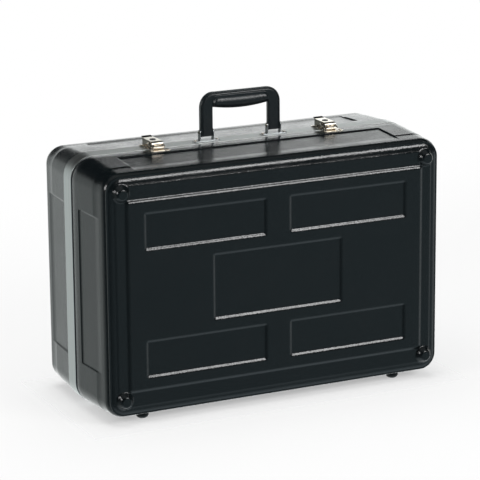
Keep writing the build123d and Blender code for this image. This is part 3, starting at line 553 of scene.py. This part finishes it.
class HalfShell:
    """One moulded half: its outline's radius at the parting, the depth of its face, the depth at which
    the draft starts, the depth of its edge, and the depths at which the recesses of its walls start."""

    def __init__(self, radius, depth, straight, edge, side_start, end_start, settings):
        self.radius, self.depth, self.straight, self.edge = radius, depth, straight, edge
        self.side_start, self.end_start, self.settings = side_start, end_start, settings
        self.groove = depth - settings.panel_rise - settings.band_rise
        self.half_x, self.half_z = OUTLINE.core + radius
        drawn = PAD_STEP + self.drawn_in(self.groove) + settings.rim_radius
        self.band_x = self.half_x - drawn
        self.band_z = self.half_z - drawn
        self.panel_x = self.band_x - PANEL_END_MARGIN
        self.panel_z = self.band_z - PANEL_SIDE_MARGIN
        self.boss_x = self.band_x - BOSS_END_INSET
        self.boss_z = self.band_z - BOSS_SIDE_INSET
        tangent = settings.rim_radius / tan((pi / 2 + DRAFT) / 2)
        self.face_radius = radius - PAD_STEP - self.drawn_in(self.groove) - tangent

    def drawn_in(self, depth):
        """How far the draft has drawn the wall in: (depth - straight) * tan(draft)."""
        return np.maximum(0.0, depth - self.straight) * tan(DRAFT)

    def tiles(self):
        """Centre and half size of the five sunk tiles."""
        outer_x = self.panel_x - TILE_END_MARGIN
        half_x, half_z = (outer_x - TILE_GAP / 2) / 2, TILE_HEIGHT / 2
        x, z = TILE_GAP / 2 + half_x, self.panel_z - TILE_SIDE_MARGIN - half_z
        corners = [(sx * x, sz * z, half_x, half_z) for sx in (-1, 1) for sz in (-1, 1)]
        return [*corners, (0.0, 0.0, CENTRE_TILE_LENGTH / 2, CENTRE_TILE_HEIGHT / 2)]

    def face_depth(self, x, z):
        """Depth of the face: the groove, plus a soft step for the band, plus one for the panel where it is
        clear of the bosses, less one for each tile, plus a cone with a rounded top for each boss."""
        settings = self.settings
        band = inside_box(x, z, self.band_x, self.band_z, BAND_CORNER)
        from_boss = np.hypot(np.abs(x) - self.boss_x, np.abs(z) - self.boss_z)
        panel = inside_box(x, z, self.panel_x, self.panel_z, PANEL_CORNER)
        panel = np.minimum(panel, from_boss - BOSS_FOOT - BOSS_NOTCH)
        depth = self.groove + moulded_step(band, settings.band_rise)
        depth = depth + moulded_step(panel + PANEL_STEP_OUT, settings.panel_rise)
        for tile_x, tile_z, half_x, half_z in self.tiles():
            outside = -inside_box(x - tile_x, z - tile_z, half_x, half_z, TILE_CORNER)
            sunk = settings.tile_depth
            depth = depth - sunk + moulded_step(outside + sunk / STEP_SLOPE, sunk)
        height = settings.panel_rise + BOSS_HEIGHT
        cone = soft_min(height * (BOSS_FOOT - from_boss) / (BOSS_FOOT - BOSS_TOP), height, BOSS_ROUND)
        return depth + np.maximum(-soft_min(-cone, 0.0, BOSS_FILLET), 0.0)

    def wall_radius(self, depth, sheet):
        """Radius of the wall outside the core: the outline, less the draft, less the pad step near the
        face or the recess where that is deeper. Each recess runs out in a ramp near the face."""
        crease = PAD_CREASE + (PAD_CREASE_END - PAD_CREASE) * sheet.out_x ** 2
        step = PAD_STEP * ramp(depth - self.depth + BAND_DEPTH, crease)
        end = self.depth - RECESS_FACE_MARGIN
        fade = 1 - ramp(depth - end + RECESS_RAMP, RECESS_RAMP)
        at_end = np.abs(sheet.out_x) > np.abs(sheet.out_z)
        along_end = self.half_z - RECESS_SIDE_MARGIN - np.abs(sheet.core_z)
        along_side = self.half_x - RECESS_END_MARGIN - np.abs(sheet.core_x)
        window = ramp(np.where(at_end, along_end, along_side), RECESS_STEP_WIDTH)
        start = np.where(at_end, self.end_start, self.side_start)
        sunk = (PAD_STEP + RECESS_STEP) * fade * window * ramp(depth - start, RECESS_STEP_WIDTH)
        return self.radius - self.drawn_in(depth) - np.maximum(step, sunk)

    def lines(self, axis):
        """The sheet's lines along one axis, fine at every step of the relief."""
        if axis == 0:
            panel, core, boss = self.panel_x, OUTLINE.core[0], self.boss_x
            tile, recess = panel - TILE_END_MARGIN, self.half_x - RECESS_END_MARGIN
            edges = [TILE_GAP / 2, CENTRE_TILE_LENGTH / 2, tile, recess, panel]
        else:
            panel, core, boss = self.panel_z, OUTLINE.core[1], self.boss_z
            tile, recess = panel - TILE_SIDE_MARGIN, self.half_z - RECESS_SIDE_MARGIN
            edges = [tile - TILE_HEIGHT, CENTRE_TILE_HEIGHT / 2, tile, recess, panel]
        end = core + self.face_radius
        rim = np.arange(boss - BOSS_FOOT, end, 2 * FACE_REACH)
        return lines_near(end, [*edges, *rim], FACE_REACH, FINE, COARSE)

    def mesh(self, name, side):
        """The whole moulding: the face, the rounded rim, the walls, the parting edge and the inside."""
        sheet = Sheet(self.lines(0), self.lines(1), self.face_radius)
        rim = self.settings.rim_radius
        loop = np.ones(len(sheet.border))
        turn = np.linspace(0, pi / 2 - DRAFT, RIM_RINGS)[1:, None]
        round_depth = self.groove - rim * (1 - np.cos(turn))
        marks = [self.depth - BAND_DEPTH, self.end_start, self.side_start, self.depth - RECESS_FACE_MARGIN]
        first, last = self.edge + RIM_EDGE, round_depth[-1, 0]
        wall_depth = lines_near(last - first, np.array(marks) - first, REACH, FINE, COARSE)
        wall_depth = first + wall_depth[-2::-1, None]
        wall = self.wall_radius(wall_depth * loop, sheet)
        inner_depth = np.array([[self.edge], [self.groove - SHELL_WALL]])
        inner = self.radius - SHELL_SKIN - self.drawn_in(inner_depth)
        lip_radius = wall[-1] - RIM_EDGE * (1 - np.cos(EDGE_TURN))
        round_radius = self.face_radius + rim * np.sin(turn)
        radii = np.concatenate([round_radius * loop, wall, lip_radius, inner * loop])
        lip_depth = self.edge + RIM_EDGE * (1 - np.sin(EDGE_TURN))
        depths = np.concatenate([round_depth, wall_depth, lip_depth, inner_depth])
        face = self.face_depth(sheet.x, sheet.z)
        return sheet.closed_mesh(name, face, radii, depths, side, 1)

    def foam_mesh(self, name, side, hollows):
        """A foam insert: its cut face, a lip inside the valances, and a block that fills the shell."""
        lip = OUTLINE.radius - FOAM_LIP_INSET
        cuts_x = [abs(edge) for hollow in hollows for edge in hollow.edges_x]
        cuts_z = [abs(edge) for hollow in hollows for edge in hollow.edges_z]
        flat = lip - FOAM_EDGE
        ends = OUTLINE.core + flat
        lines_x = lines_near(ends[0], cuts_x, FOAM_CUT, FOAM_CUT, FOAM_COARSE)
        lines_z = lines_near(ends[1], cuts_z, FOAM_CUT, FOAM_CUT, FOAM_FINE)
        sheet = Sheet(lines_x, lines_z, flat)
        depth = np.full(sheet.x.shape, FOAM_TOP_GAP)
        for hollow in hollows:
            depth = np.maximum(depth, hollow.depth(sheet.x, sheet.z, side))
        end = self.groove - SHELL_WALL - FOAM_CLEARANCE
        block_depth = np.array([[FOAM_LIP_DEPTH], [FOAM_LIP_DEPTH], [end]])
        block = self.radius - SHELL_SKIN - FOAM_CLEARANCE - self.drawn_in(block_depth)
        block[0] = lip
        radii = np.concatenate([flat + FOAM_EDGE * np.sin(EDGE_TURN), block]) * np.ones(len(sheet.border))
        depths = np.concatenate([FOAM_TOP_GAP + FOAM_EDGE * (1 - np.cos(EDGE_TURN)), block_depth])
        return sheet.closed_mesh(name, depth, radii, depths, side, -1)


class Hollow:
    """A place cut out of the foam: a length along X from its start, and a half height either side of z."""

    def __init__(self, start, length, z, half):
        self.start, self.end, self.z, self.half = start, start + length, z, half
        self.edges_x, self.edges_z = [start, start + length], [z - half, z + half]


class Trough(Hollow):
    """A round hollow: inside its length it reaches offset * side + sqrt(half^2 - z^2) deep."""

    def __init__(self, start, length, z, radius, offset):
        super().__init__(start, length, z, radius)
        self.offset = offset

    def depth(self, x, z, side):
        across = np.maximum(self.half ** 2 - (z - self.z) ** 2, 0)
        inside = (x > self.start) & (x < self.end) & (across > 0)
        return np.where(inside, self.offset * side + np.sqrt(across), 0.0)


class Pocket(Hollow):
    """A square hollow with straight sides and a flat floor."""

    def __init__(self, start, length, z, height, floor):
        super().__init__(start, length, z, height / 2)
        self.floor = floor

    def depth(self, x, z, side):
        inside = (x > self.start) & (x < self.end) & (np.abs(z - self.z) < self.half)
        return np.where(inside, FOAM_TOP_GAP + self.floor, 0.0)


class Arch:
    """The handle's centre line, by the distance s from the middle of the grip: level to the corner, then
    round it, then down the leg. Across it, w points away from the hand and y through its thickness."""

    def __init__(self):
        low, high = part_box("handle_grip")
        self.leg = (high[0] - low[0]) / 2 - LEG_WIDTH / 2
        self.y = (high[1] + low[1]) / 2
        self.top = high[2] - GRIP_HEIGHT / 2
        self.flat = self.leg - ARCH_RADIUS
        self.turn = ARCH_RADIUS * pi / 2
        self.end = self.flat + self.turn + self.top - ARCH_RADIUS - low[2]

    def place(self, s, w, y):
        """Points at a distance s along, w outwards and y to the back."""
        away = np.abs(s)
        angle = np.clip((away - self.flat) / ARCH_RADIUS, 0, pi / 2)
        down = np.maximum(away - self.flat - self.turn, 0)
        x = np.minimum(away, self.flat) + (ARCH_RADIUS + w) * np.sin(angle)
        z = self.top - ARCH_RADIUS - down + (ARCH_RADIUS + w) * np.cos(angle)
        x, y, z = np.broadcast_arrays(np.sign(s) * x, self.y + y, z)
        return np.stack([x, y, z], -1)

    def outer(self, s):
        """Half width towards the outside."""
        blend = ramp(np.abs(s) - self.flat, self.turn)
        return GRIP_HEIGHT / 2 + (LEG_WIDTH - GRIP_HEIGHT) / 2 * blend

    def inner(self, s):
        """Half width towards the hand, with the belly of the grip in the middle."""
        belly = GRIP_BELLY * np.maximum(1 - (s / self.flat) ** 2, 0)
        blend = ramp(np.abs(s) - self.flat, self.turn)
        corner = ARCH_RADIUS - CORNER_ROOM
        return corner + belly + (LEG_WIDTH / 2 - corner) * blend

    def thickness(self, s, w):
        """Half thickness: a flat strap with round edges, a rolled outer edge with a stitched groove, and
        the padding, an oval that fades out slantwise towards the corners. The two are joined as
        (strap^4 + pad^4)^(1/4)."""
        outer, inner = self.outer(s), self.inner(s)
        middle, half = (outer - inner) / 2, (outer + inner) / 2
        strap = (1 - np.clip(np.abs(w - middle) / half, 0, 1) ** STRAP_POWER)
        strap = LEG_THICKNESS / 2 * strap ** (1 / STRAP_POWER)
        seam = np.exp(-(((outer - SEAM_INSET - w) / SEAM_WIDTH) ** 2))
        roll = np.exp(-(((outer - SEAM_INSET / 2 - w) / SEAM_WIDTH) ** 2))
        strap = np.maximum(strap - SEAM_DEPTH * seam + SEAM_DEPTH * roll * (strap > SEAM_DEPTH), 0)
        low, high = -inner, PAD_TOP
        oval = np.sqrt(np.clip(1 - ((w - (low + high) / 2) / ((high - low) / 2)) ** 2, 0, 1))
        fade = 1 - ramp(np.abs(s) - self.flat + PAD_FADE / 2 + PAD_SLANT * w, PAD_FADE)
        dip = 1 - PAD_DIP + PAD_DIP * np.cos(pi * s / self.flat / 2) ** 2
        pad = GRIP_DEPTH / 2 * oval ** PAD_POWER * fade * dip
        return (strap ** 4 + pad ** 4) ** 0.25

    def mesh(self, name):
        """The cover: at every s a closed ring, w = middle + half * cos(angle), y = +-thickness."""
        s = np.arange(-self.end, self.end + GRIP_STEP / 2, GRIP_STEP)[:, None]
        angle = np.linspace(0, 2 * pi, GRIP_SIDES, endpoint=False)[None, :]
        outer, inner = self.outer(s), self.inner(s)
        rounding = np.sqrt(np.clip(1 - (1 - (self.end - np.abs(s)) / LEG_ROUND) ** 2, LEG_END, 1))
        rounding = np.where(self.end - np.abs(s) < LEG_ROUND, rounding, 1.0)
        w = (outer - inner) / 2 + (outer + inner) / 2 * np.cos(angle)
        y = np.where(np.sin(angle) >= 0, -1, 1) * self.thickness(s, w) * rounding
        points = self.place(s, w, y).reshape(-1, 3)
        rows = len(s)
        quads = grid_quads(rows, GRIP_SIDES, closed=True)
        first, last = np.arange(GRIP_SIDES), (rows - 1) * GRIP_SIDES + np.arange(GRIP_SIDES)
        return fill_mesh(name, points, quads, [first[::-1], last])

    def stitches(self, name):
        """Short threads in the seam, each a capsule: its radius is r * sqrt(1 - (u / half length)^2). Those
        on the front are mirrored, so their faces are flipped."""
        rings, sides = STITCH_RINGS, STITCH_SIDES
        places = np.arange(-self.end + STITCH_PITCH, self.end - STITCH_PITCH / 2, STITCH_PITCH)
        face = np.array([-1.0, 1.0])
        place, face = [a.ravel()[:, None, None] for a in np.meshgrid(places, face, indexing="ij")]
        u = STITCH_LENGTH / 2 * np.linspace(-STITCH_REACH, STITCH_REACH, rings)[None, :, None]
        turn = np.linspace(0, 2 * pi, sides, endpoint=False)[None, None, :]
        radius = STITCH_RADIUS * np.sqrt(1 - (2 * u / STITCH_LENGTH) ** 2)
        s = place + u
        w = self.outer(s) - SEAM_INSET
        lift = self.thickness(s, w) + STITCH_LIFT
        points = self.place(s, w + radius * np.cos(turn), face * (lift + radius * np.sin(turn)))
        number = np.arange(len(points))[:, None]
        front = number % 2 == 0
        one = grid_quads(rings, sides, closed=True)
        flipped = np.where(front[..., None], one[:, ::-1], one)
        quads = (flipped + rings * sides * number[..., None]).reshape(-1, 4)
        start = rings * sides * number + np.arange(sides)
        heads = np.where(front, start, start[:, ::-1])
        tails = np.where(front, start[:, ::-1], start) + (rings - 1) * sides
        return fill_mesh(name, points.reshape(-1, 3), quads, [*heads, *tails])


def settings_of(context):
    """The user's sizes and colours."""
    return context.scene.telescope_case


def size_property(name, description, default, low, high):
    """A length that a user may change, in millimetres."""
    return bpy.props.FloatProperty(
        name=name, description=description, default=default * MM, min=low * MM, max=high * MM,
        subtype="DISTANCE", unit="LENGTH",
    )


def colour_property(name, description, code):
    """A colour that a user may change, from its sRGB hex code."""
    return bpy.props.FloatVectorProperty(
        name=name, description=description, default=linear(code), size=4, subtype="COLOR"
    )


def power_property(name, description, default):
    """The power of a lamp that a user may change, in watts."""
    return bpy.props.FloatProperty(name=name, description=description, default=default, min=0.0, unit="POWER")


class CaseSettings(bpy.types.PropertyGroup):
    """Sizes, colours and lamps that a user would change."""

    panel_rise: size_property("Panel rise", "Height of the raised panel over the band round it", 3, 0.5, 5)
    band_rise: size_property("Band rise", "Height of the band over the groove beside the rim", 1.3, 0.2, 3)
    tile_depth: size_property("Tile depth", "How far each tile is sunk into the panel", 2.6, 0.2, 4)
    rim_radius: size_property("Rim radius", "Radius from the face to the walls", 16, 8, 18)
    grain_size: size_property("Shell grain", "Size of the haircell grain as it is drawn", 2.2, 0.4, 4)
    shell_colour: colour_property("Shell", "Colour of the moulded ABS", "#0B1012")
    aluminium_colour: colour_property("Valances", "Colour of the anodised aluminium", "#C9CCCB")
    nickel_colour: colour_property("Nickel", "Colour of the nickel plating", "#CFC8BC")
    zinc_colour: colour_property("Zinc", "Colour of the zinc plating", "#A9ACAE")
    rubber_colour: colour_property("Rubber", "Colour of the feet and the seal", "#0E1011")
    leather_colour: colour_property("Leather", "Colour of the handle's cover", "#10181B")
    thread_colour: colour_property("Thread", "Colour of the handle's stitches", "#2A2E30")
    foam_colour: colour_property("Foam", "Colour of the foam inserts", "#3A3D40")
    front_power: power_property("Front soft box", "Power of the soft box in front of the case", 52.0)
    left_power: power_property("Left soft box", "Power of the soft box to the left of the case", 15.0)
    overhead_power: power_property("Overhead lamp", "Power of the wide lamp above the case", 40.0)


def lid_half(settings):
    """The lid's moulding, whose draft starts at the parting."""
    return HalfShell(
        radius=CORNER_RADIUS, depth=LID_DEPTH, straight=0.0, edge=RIM_GAP,
        side_start=LID_RECESS_START, end_start=LID_RECESS_START, settings=settings,
    )


def base_half(settings):
    """The base's moulding, which lies inside its valance. Its draft starts where the valance ends."""
    end = OUTLINE.valance_end
    return HalfShell(
        radius=CORNER_RADIUS - VALANCE_COVER, depth=BASE_DEPTH, straight=end, edge=BASE_EDGE,
        side_start=end + BASE_RECESS_GAP, end_start=end, settings=settings,
    )


class CASE_OT_shells(bpy.types.Operator):
    """Makes the moulded shells of the lid and the base"""

    bl_idname = "telescope_case.shells"
    bl_label = "Shells"

    def execute(self, context):
        settings = settings_of(context)
        plastic = moulded_abs(settings)
        lid = add_piece(lid_half(settings).mesh("lid_moulding", -1), plastic, "lid")
        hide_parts("lid_shell")
        base = add_piece(base_half(settings).mesh("base_moulding", 1), plastic, "base")
        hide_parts("base_shell")
        return {"FINISHED"}


class CASE_OT_foam(bpy.types.Operator):
    """Makes the two foam inserts with their hollows"""

    bl_idname = "telescope_case.foam"
    bl_label = "Foam inserts"

    def execute(self, context):
        settings = settings_of(context)
        foam = cut_foam(settings)
        both = [
            Trough(TUBE_START, TUBE_LENGTH, 0.0, TUBE_RADIUS, TUBE_OFFSET),
            Trough(TUBE_START, FINDER_LENGTH, FINDER_HEIGHT, FINDER_RADIUS, 0.0),
        ]
        pockets = [
            Pocket(POCKET_START, POCKET_LENGTH, row * POCKET_PITCH, POCKET_LENGTH, POCKET_DEPTH)
            for row in (-1, 0, 1)
        ]
        tray = Pocket(TUBE_START, TRAY_LENGTH, -FINDER_HEIGHT, TRAY_HEIGHT, TRAY_DEPTH)
        lid = add_piece(lid_half(settings).foam_mesh("lid_insert", -1, both), foam, "lid")
        base_mesh = base_half(settings).foam_mesh("base_insert", 1, [*both, *pockets, tray])
        base = add_piece(base_mesh, foam, "base")
        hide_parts("lid_foam")
        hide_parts("base_foam")
        return {"FINISHED"}


class CASE_OT_handle(bpy.types.Operator):
    """Makes the handle's padded leather cover and its stitches"""

    bl_idname = "telescope_case.handle"
    bl_label = "Handle"

    def execute(self, context):
        settings = settings_of(context)
        arch = Arch()
        cover = add_piece(arch.mesh("handle_cover"), grained_leather(settings), "handle")
        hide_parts("handle_grip")
        add_piece(arch.stitches("handle_stitches"), waxed_thread(settings), "handle")
        return {"FINISHED"}


class CASE_OT_rims(bpy.types.Operator):
    """Finishes the valances, the seal and the rubber feet"""

    bl_idname = "telescope_case.rims"
    bl_label = "Valances, seal and feet"

    def execute(self, context):
        settings = settings_of(context)
        dress(satin_aluminium(settings), "base_valance", "lid_valance")
        dress(moulded_rubber(settings), "rim_seal", "base_feet", "lid_feet")
        return {"FINISHED"}


class CASE_OT_hardware(bpy.types.Operator):
    """Finishes the latches, hinges, brackets, rivets and screws"""

    bl_idname = "telescope_case.hardware"
    bl_label = "Hardware"

    def execute(self, context):
        settings = settings_of(context)
        zinc_colour = settings.zinc_colour
        nickel = plated_steel(
            "bright nickel plate", settings.nickel_colour, low=0.07, high=0.18, edge_radius=0.35 * MM
        )
        # The key plugs are drawn in zinc darkened to a quarter all over: painted shade that stands in for the
        # shadowed keyhole in each plug
        dark = plated_steel(
            "zinc darkened as painted keyhole shade", shade(zinc_colour, 0.25), low=0.3, high=0.45, edge_radius=0.25 * MM
        )
        zinc = plated_steel("zinc plate", zinc_colour, low=0.26, high=0.42, edge_radius=0.25 * MM)
        dress(nickel, *left_and_right("keeper", "latch_plate", "latch_lever", "bail", "handle_pin"))
        dress(nickel, *left_and_right("hinge_base_leaf", "hinge_lid_leaf"), "lid_hinge_rivets")
        dress(nickel, "keeper_rivets", "latch_rivets", "bracket_rivets", "base_hinge_rivets")
        # The darkened zinc on the key plugs is painted keyhole shade
        dress(dark, *left_and_right("key_plug"))
        dress(zinc, *left_and_right("handle_bracket", "hinge_pin", "lever_stubs", "bail_pins", "lock_cam"))
        dress(zinc, "lid_foot_screws", "base_foot_screws", "handle_backing_plate", "handle_core")
        return {"FINISHED"}


class CASE_OT_stage(bpy.types.Operator):
    """Sets the camera, the lamps, the surroundings and the floor"""

    bl_idname = "telescope_case.stage"
    bl_label = "Stage"

    def execute(self, context):
        scene = context.scene
        scene.view_settings.view_transform = "Standard"
        self.add_camera(scene)
        self.add_lamps(scene, settings_of(context))
        self.add_world(scene)
        self.add_floor(scene)
        return {"FINISHED"}

    def add_camera(self, scene):
        """The camera looks along d; r and u are its right and up, turned by the roll."""
        azimuth, elevation, roll = CAMERA_AZIMUTH, CAMERA_ELEVATION, CAMERA_ROLL
        d = Vector((sin(azimuth) * cos(elevation), cos(azimuth) * cos(elevation), -sin(elevation)))
        r = Vector((cos(azimuth), -sin(azimuth), 0))
        u = r.cross(d)
        right, up = r * cos(roll) + u * sin(roll), u * cos(roll) - r * sin(roll)
        data = bpy.data.cameras.new("camera")
        data.sensor_width = SENSOR
        data.lens = FOCAL_PIXELS / IMAGE_SIDE * SENSOR
        data.clip_end = 100
        camera = bpy.data.objects.new("camera", data)
        turned = Matrix((right, up, -d)).transposed().to_4x4()
        camera.matrix_world = Matrix.Translation(CAMERA_PLACE) @ turned
        scene.collection.objects.link(camera)
        scene.camera = camera

    def add_lamps(self, scene, settings):
        """A soft box in front, above the camera's right shoulder, a smaller one to the left, and a wide
        lamp overhead that only lights and doesn't shine in the gloss."""
        lamps = (
            ("front_box", KEY_PLACE, KEY_SIZE, settings.front_power, True),
            ("left_box", LEFT_PLACE, LEFT_SIZE, settings.left_power, True),
            ("overhead", OVERHEAD_PLACE, OVERHEAD_SIZE, settings.overhead_power, False),
        )
        for name, place, size, power, shines in lamps:
            data = bpy.data.lights.new(name, "AREA")
            data.shape = "RECTANGLE"
            data.size, data.size_y = size
            data.energy = power
            lamp = bpy.data.objects.new(name, data)
            aim = (Vector(LAMP_AIM) - Vector(place)).to_track_quat("-Z", "Y").to_matrix().to_4x4()
            lamp.matrix_world = Matrix.Translation(place) @ aim
            lamp.visible_glossy = shines
            scene.collection.objects.link(lamp)

    def add_world(self, scene):
        """A dark studio with a dim ceiling. Behind the case is a low backdrop, white at its right, where it
        is also higher. Below is a pale floor, brighter towards the right, lit from the far right and
        straight under the case. The camera itself sees plain white."""
        world = bpy.data.worlds.new("studio")
        tree = empty_tree(world)
        direction = add_node(tree, "ShaderNodeTexCoord")
        across, back, up = add_node(tree, "ShaderNodeSeparateXYZ", None, {0: direction}).outputs
        parts = (
            (back, BACKDROP_FADE), (across, SIDE_FADE), (up, DEEP_FADE), (up, FLOOR_FADE), (up, CEILING_FADE)
        )
        behind, edge, deep, under, over = [
            add_node(tree, *FADE, {"Value": axis, "From Min": start, "From Max": full})
            for axis, (start, full) in parts
        ]
        lowered = add_node(
            tree, *RANGE,
            {"Value": across, "From Min": 0.36, "From Max": 0.48, "To Min": 0.09, "To Max": -0.12},
        )
        height = add_node(tree, *ADD, {0: up, 1: lowered})
        low = add_node(tree, *FADE, {"Value": height, "From Min": 0.34, "From Max": 0.2})
        backdrop = add_node(tree, *MULTIPLY, {0: behind, 1: low})
        towards = add_node(tree, *RANGE, {"Value": across, "From Min": -0.6, "From Max": 0.7})
        floor = add_node(tree, *MIX, {0: towards, 6: linear(FLOOR_LEFT), 7: linear(FLOOR_RIGHT)})
        side = add_node(tree, *MIX, {0: edge, 6: floor.outputs[MIXED], 7: SIDE_LIGHT})
        lit = add_node(tree, *MIX, {0: deep, 6: side.outputs[MIXED], 7: DEEP_LIGHT})
        above = add_node(tree, *MIX, {0: over, 6: linear(DARK_STUDIO), 7: CEILING})
        room = add_node(tree, *MIX, {0: under, 6: above.outputs[MIXED], 7: lit.outputs[MIXED]})
        sideways = add_node(tree, *RANGE, {"Value": across, "From Min": -0.5, "From Max": 0.4})
        paper = add_node(tree, *MIX, {0: sideways, 6: BACKDROP_LEFT, 7: BACKDROP_RIGHT})
        tone = add_node(tree, *MIX, {0: backdrop, 6: room.outputs[MIXED], 7: paper.outputs[MIXED]})
        studio = add_node(tree, "ShaderNodeBackground", None, {"Color": tone.outputs[MIXED]})
        white = add_node(tree, "ShaderNodeBackground", None, {"Color": WHITE})
        seen = add_node(tree, "ShaderNodeLightPath").outputs["Is Camera Ray"]
        mix = add_node(tree, "ShaderNodeMixShader", None, {0: seen, 1: studio, 2: white})
        add_node(tree, "ShaderNodeOutputWorld", None, {"Surface": mix})
        scene.world = world

    def add_floor(self, scene):
        """A pale floor that takes the case's shadow. The camera sees the white world through most of it and,
        further off, through all of it, so an open lid that reaches below it stays in view. Under the case and
        just round it, it is more solid, where the shadow is deepest, so it shows darker there even where it
        is
        lit: partly a real shadow and partly a painted one. The distance outside the case is the larger of
        |x| and |y|, each less half the case's size."""
        mesh = bpy.data.meshes.new("floor")
        corners = [(x, y, 0) for x, y in ((-1, -1), (1, -1), (1, 1), (-1, 1))]
        mesh.from_pydata([Vector(corner) * FLOOR_HALF_SIZE for corner in corners], [], [(0, 1, 2, 3)])
        floor = bpy.data.objects.new("floor", mesh)
        material, tree, place = start_material("pale studio paper")
        size = add_node(tree, "ShaderNodeVectorMath", {"operation": "ABSOLUTE"}, {0: place})
        past = add_node(tree, "ShaderNodeVectorMath", {"operation": "SUBTRACT"}, {0: size, 1: CASE_HALF_SIZE})
        sides = add_node(tree, "ShaderNodeSeparateXYZ", None, {0: past}).outputs
        outside = add_node(tree, "ShaderNodeMath", {"operation": "MAXIMUM"}, {0: sides[0], 1: sides[1]})
        # Near the case less of the white world shows through, so the floor reads darker there even where it
        # is lit: a painted contact shadow over the real one
        near = add_node(
            tree, *FADE,
            {"Value": outside, "From Min": -0.09, "From Max": 0.05, "To Min": 0.32, "To Max": 0.74},
        )
        far = add_node(tree, *FADE, {"Value": outside, "From Min": -0.1, "From Max": 1.3, "To Max": 0.26})
        clear = add_node(tree, *ADD, {0: near, 1: far})
        seen = add_node(tree, "ShaderNodeLightPath").outputs["Is Camera Ray"]
        hidden = add_node(tree, *MULTIPLY, {0: seen, 1: clear})
        lit = add_node(tree, "ShaderNodeBsdfDiffuse", None, {"Color": FLOOR_COLOUR})
        white = add_node(tree, "ShaderNodeBsdfTransparent")
        paper = add_node(tree, "ShaderNodeMixShader", None, {0: hidden, 1: lit, 2: white})
        add_node(tree, "ShaderNodeOutputMaterial", None, {"Surface": paper})
        mesh.materials.append(material)
        scene.collection.objects.link(floor)
        floor.visible_shadow = False
        floor.visible_glossy = False


class VIEW3D_PT_telescope_case(bpy.types.Panel):
    """Lists the case's sizes, colours and pieces"""

    bl_label = "Telescope Case"
    bl_space_type = "VIEW_3D"
    bl_region_type = "UI"
    bl_category = "Telescope Case"

    def draw(self, context):
        for name in CaseSettings.__annotations__:
            self.layout.prop(settings_of(context), name)
        for operator in OPERATORS:
            self.layout.operator(operator.bl_idname)


OPERATORS = (CASE_OT_stage, CASE_OT_shells, CASE_OT_foam, CASE_OT_handle, CASE_OT_rims, CASE_OT_hardware)
CLASSES = (CaseSettings, *OPERATORS, VIEW3D_PT_telescope_case)


def register():
    for cls in CLASSES:
        bpy.utils.register_class(cls)
    bpy.types.Scene.telescope_case = bpy.props.PointerProperty(type=CaseSettings)


def unregister():
    del bpy.types.Scene.telescope_case
    for cls in reversed(CLASSES):
        bpy.utils.unregister_class(cls)


def main():
    register()
    bpy.ops.telescope_case.stage()
    bpy.ops.telescope_case.shells()
    bpy.ops.telescope_case.foam()
    bpy.ops.telescope_case.handle()
    bpy.ops.telescope_case.rims()
    bpy.ops.telescope_case.hardware()


if __name__ == "__main__":
    main()
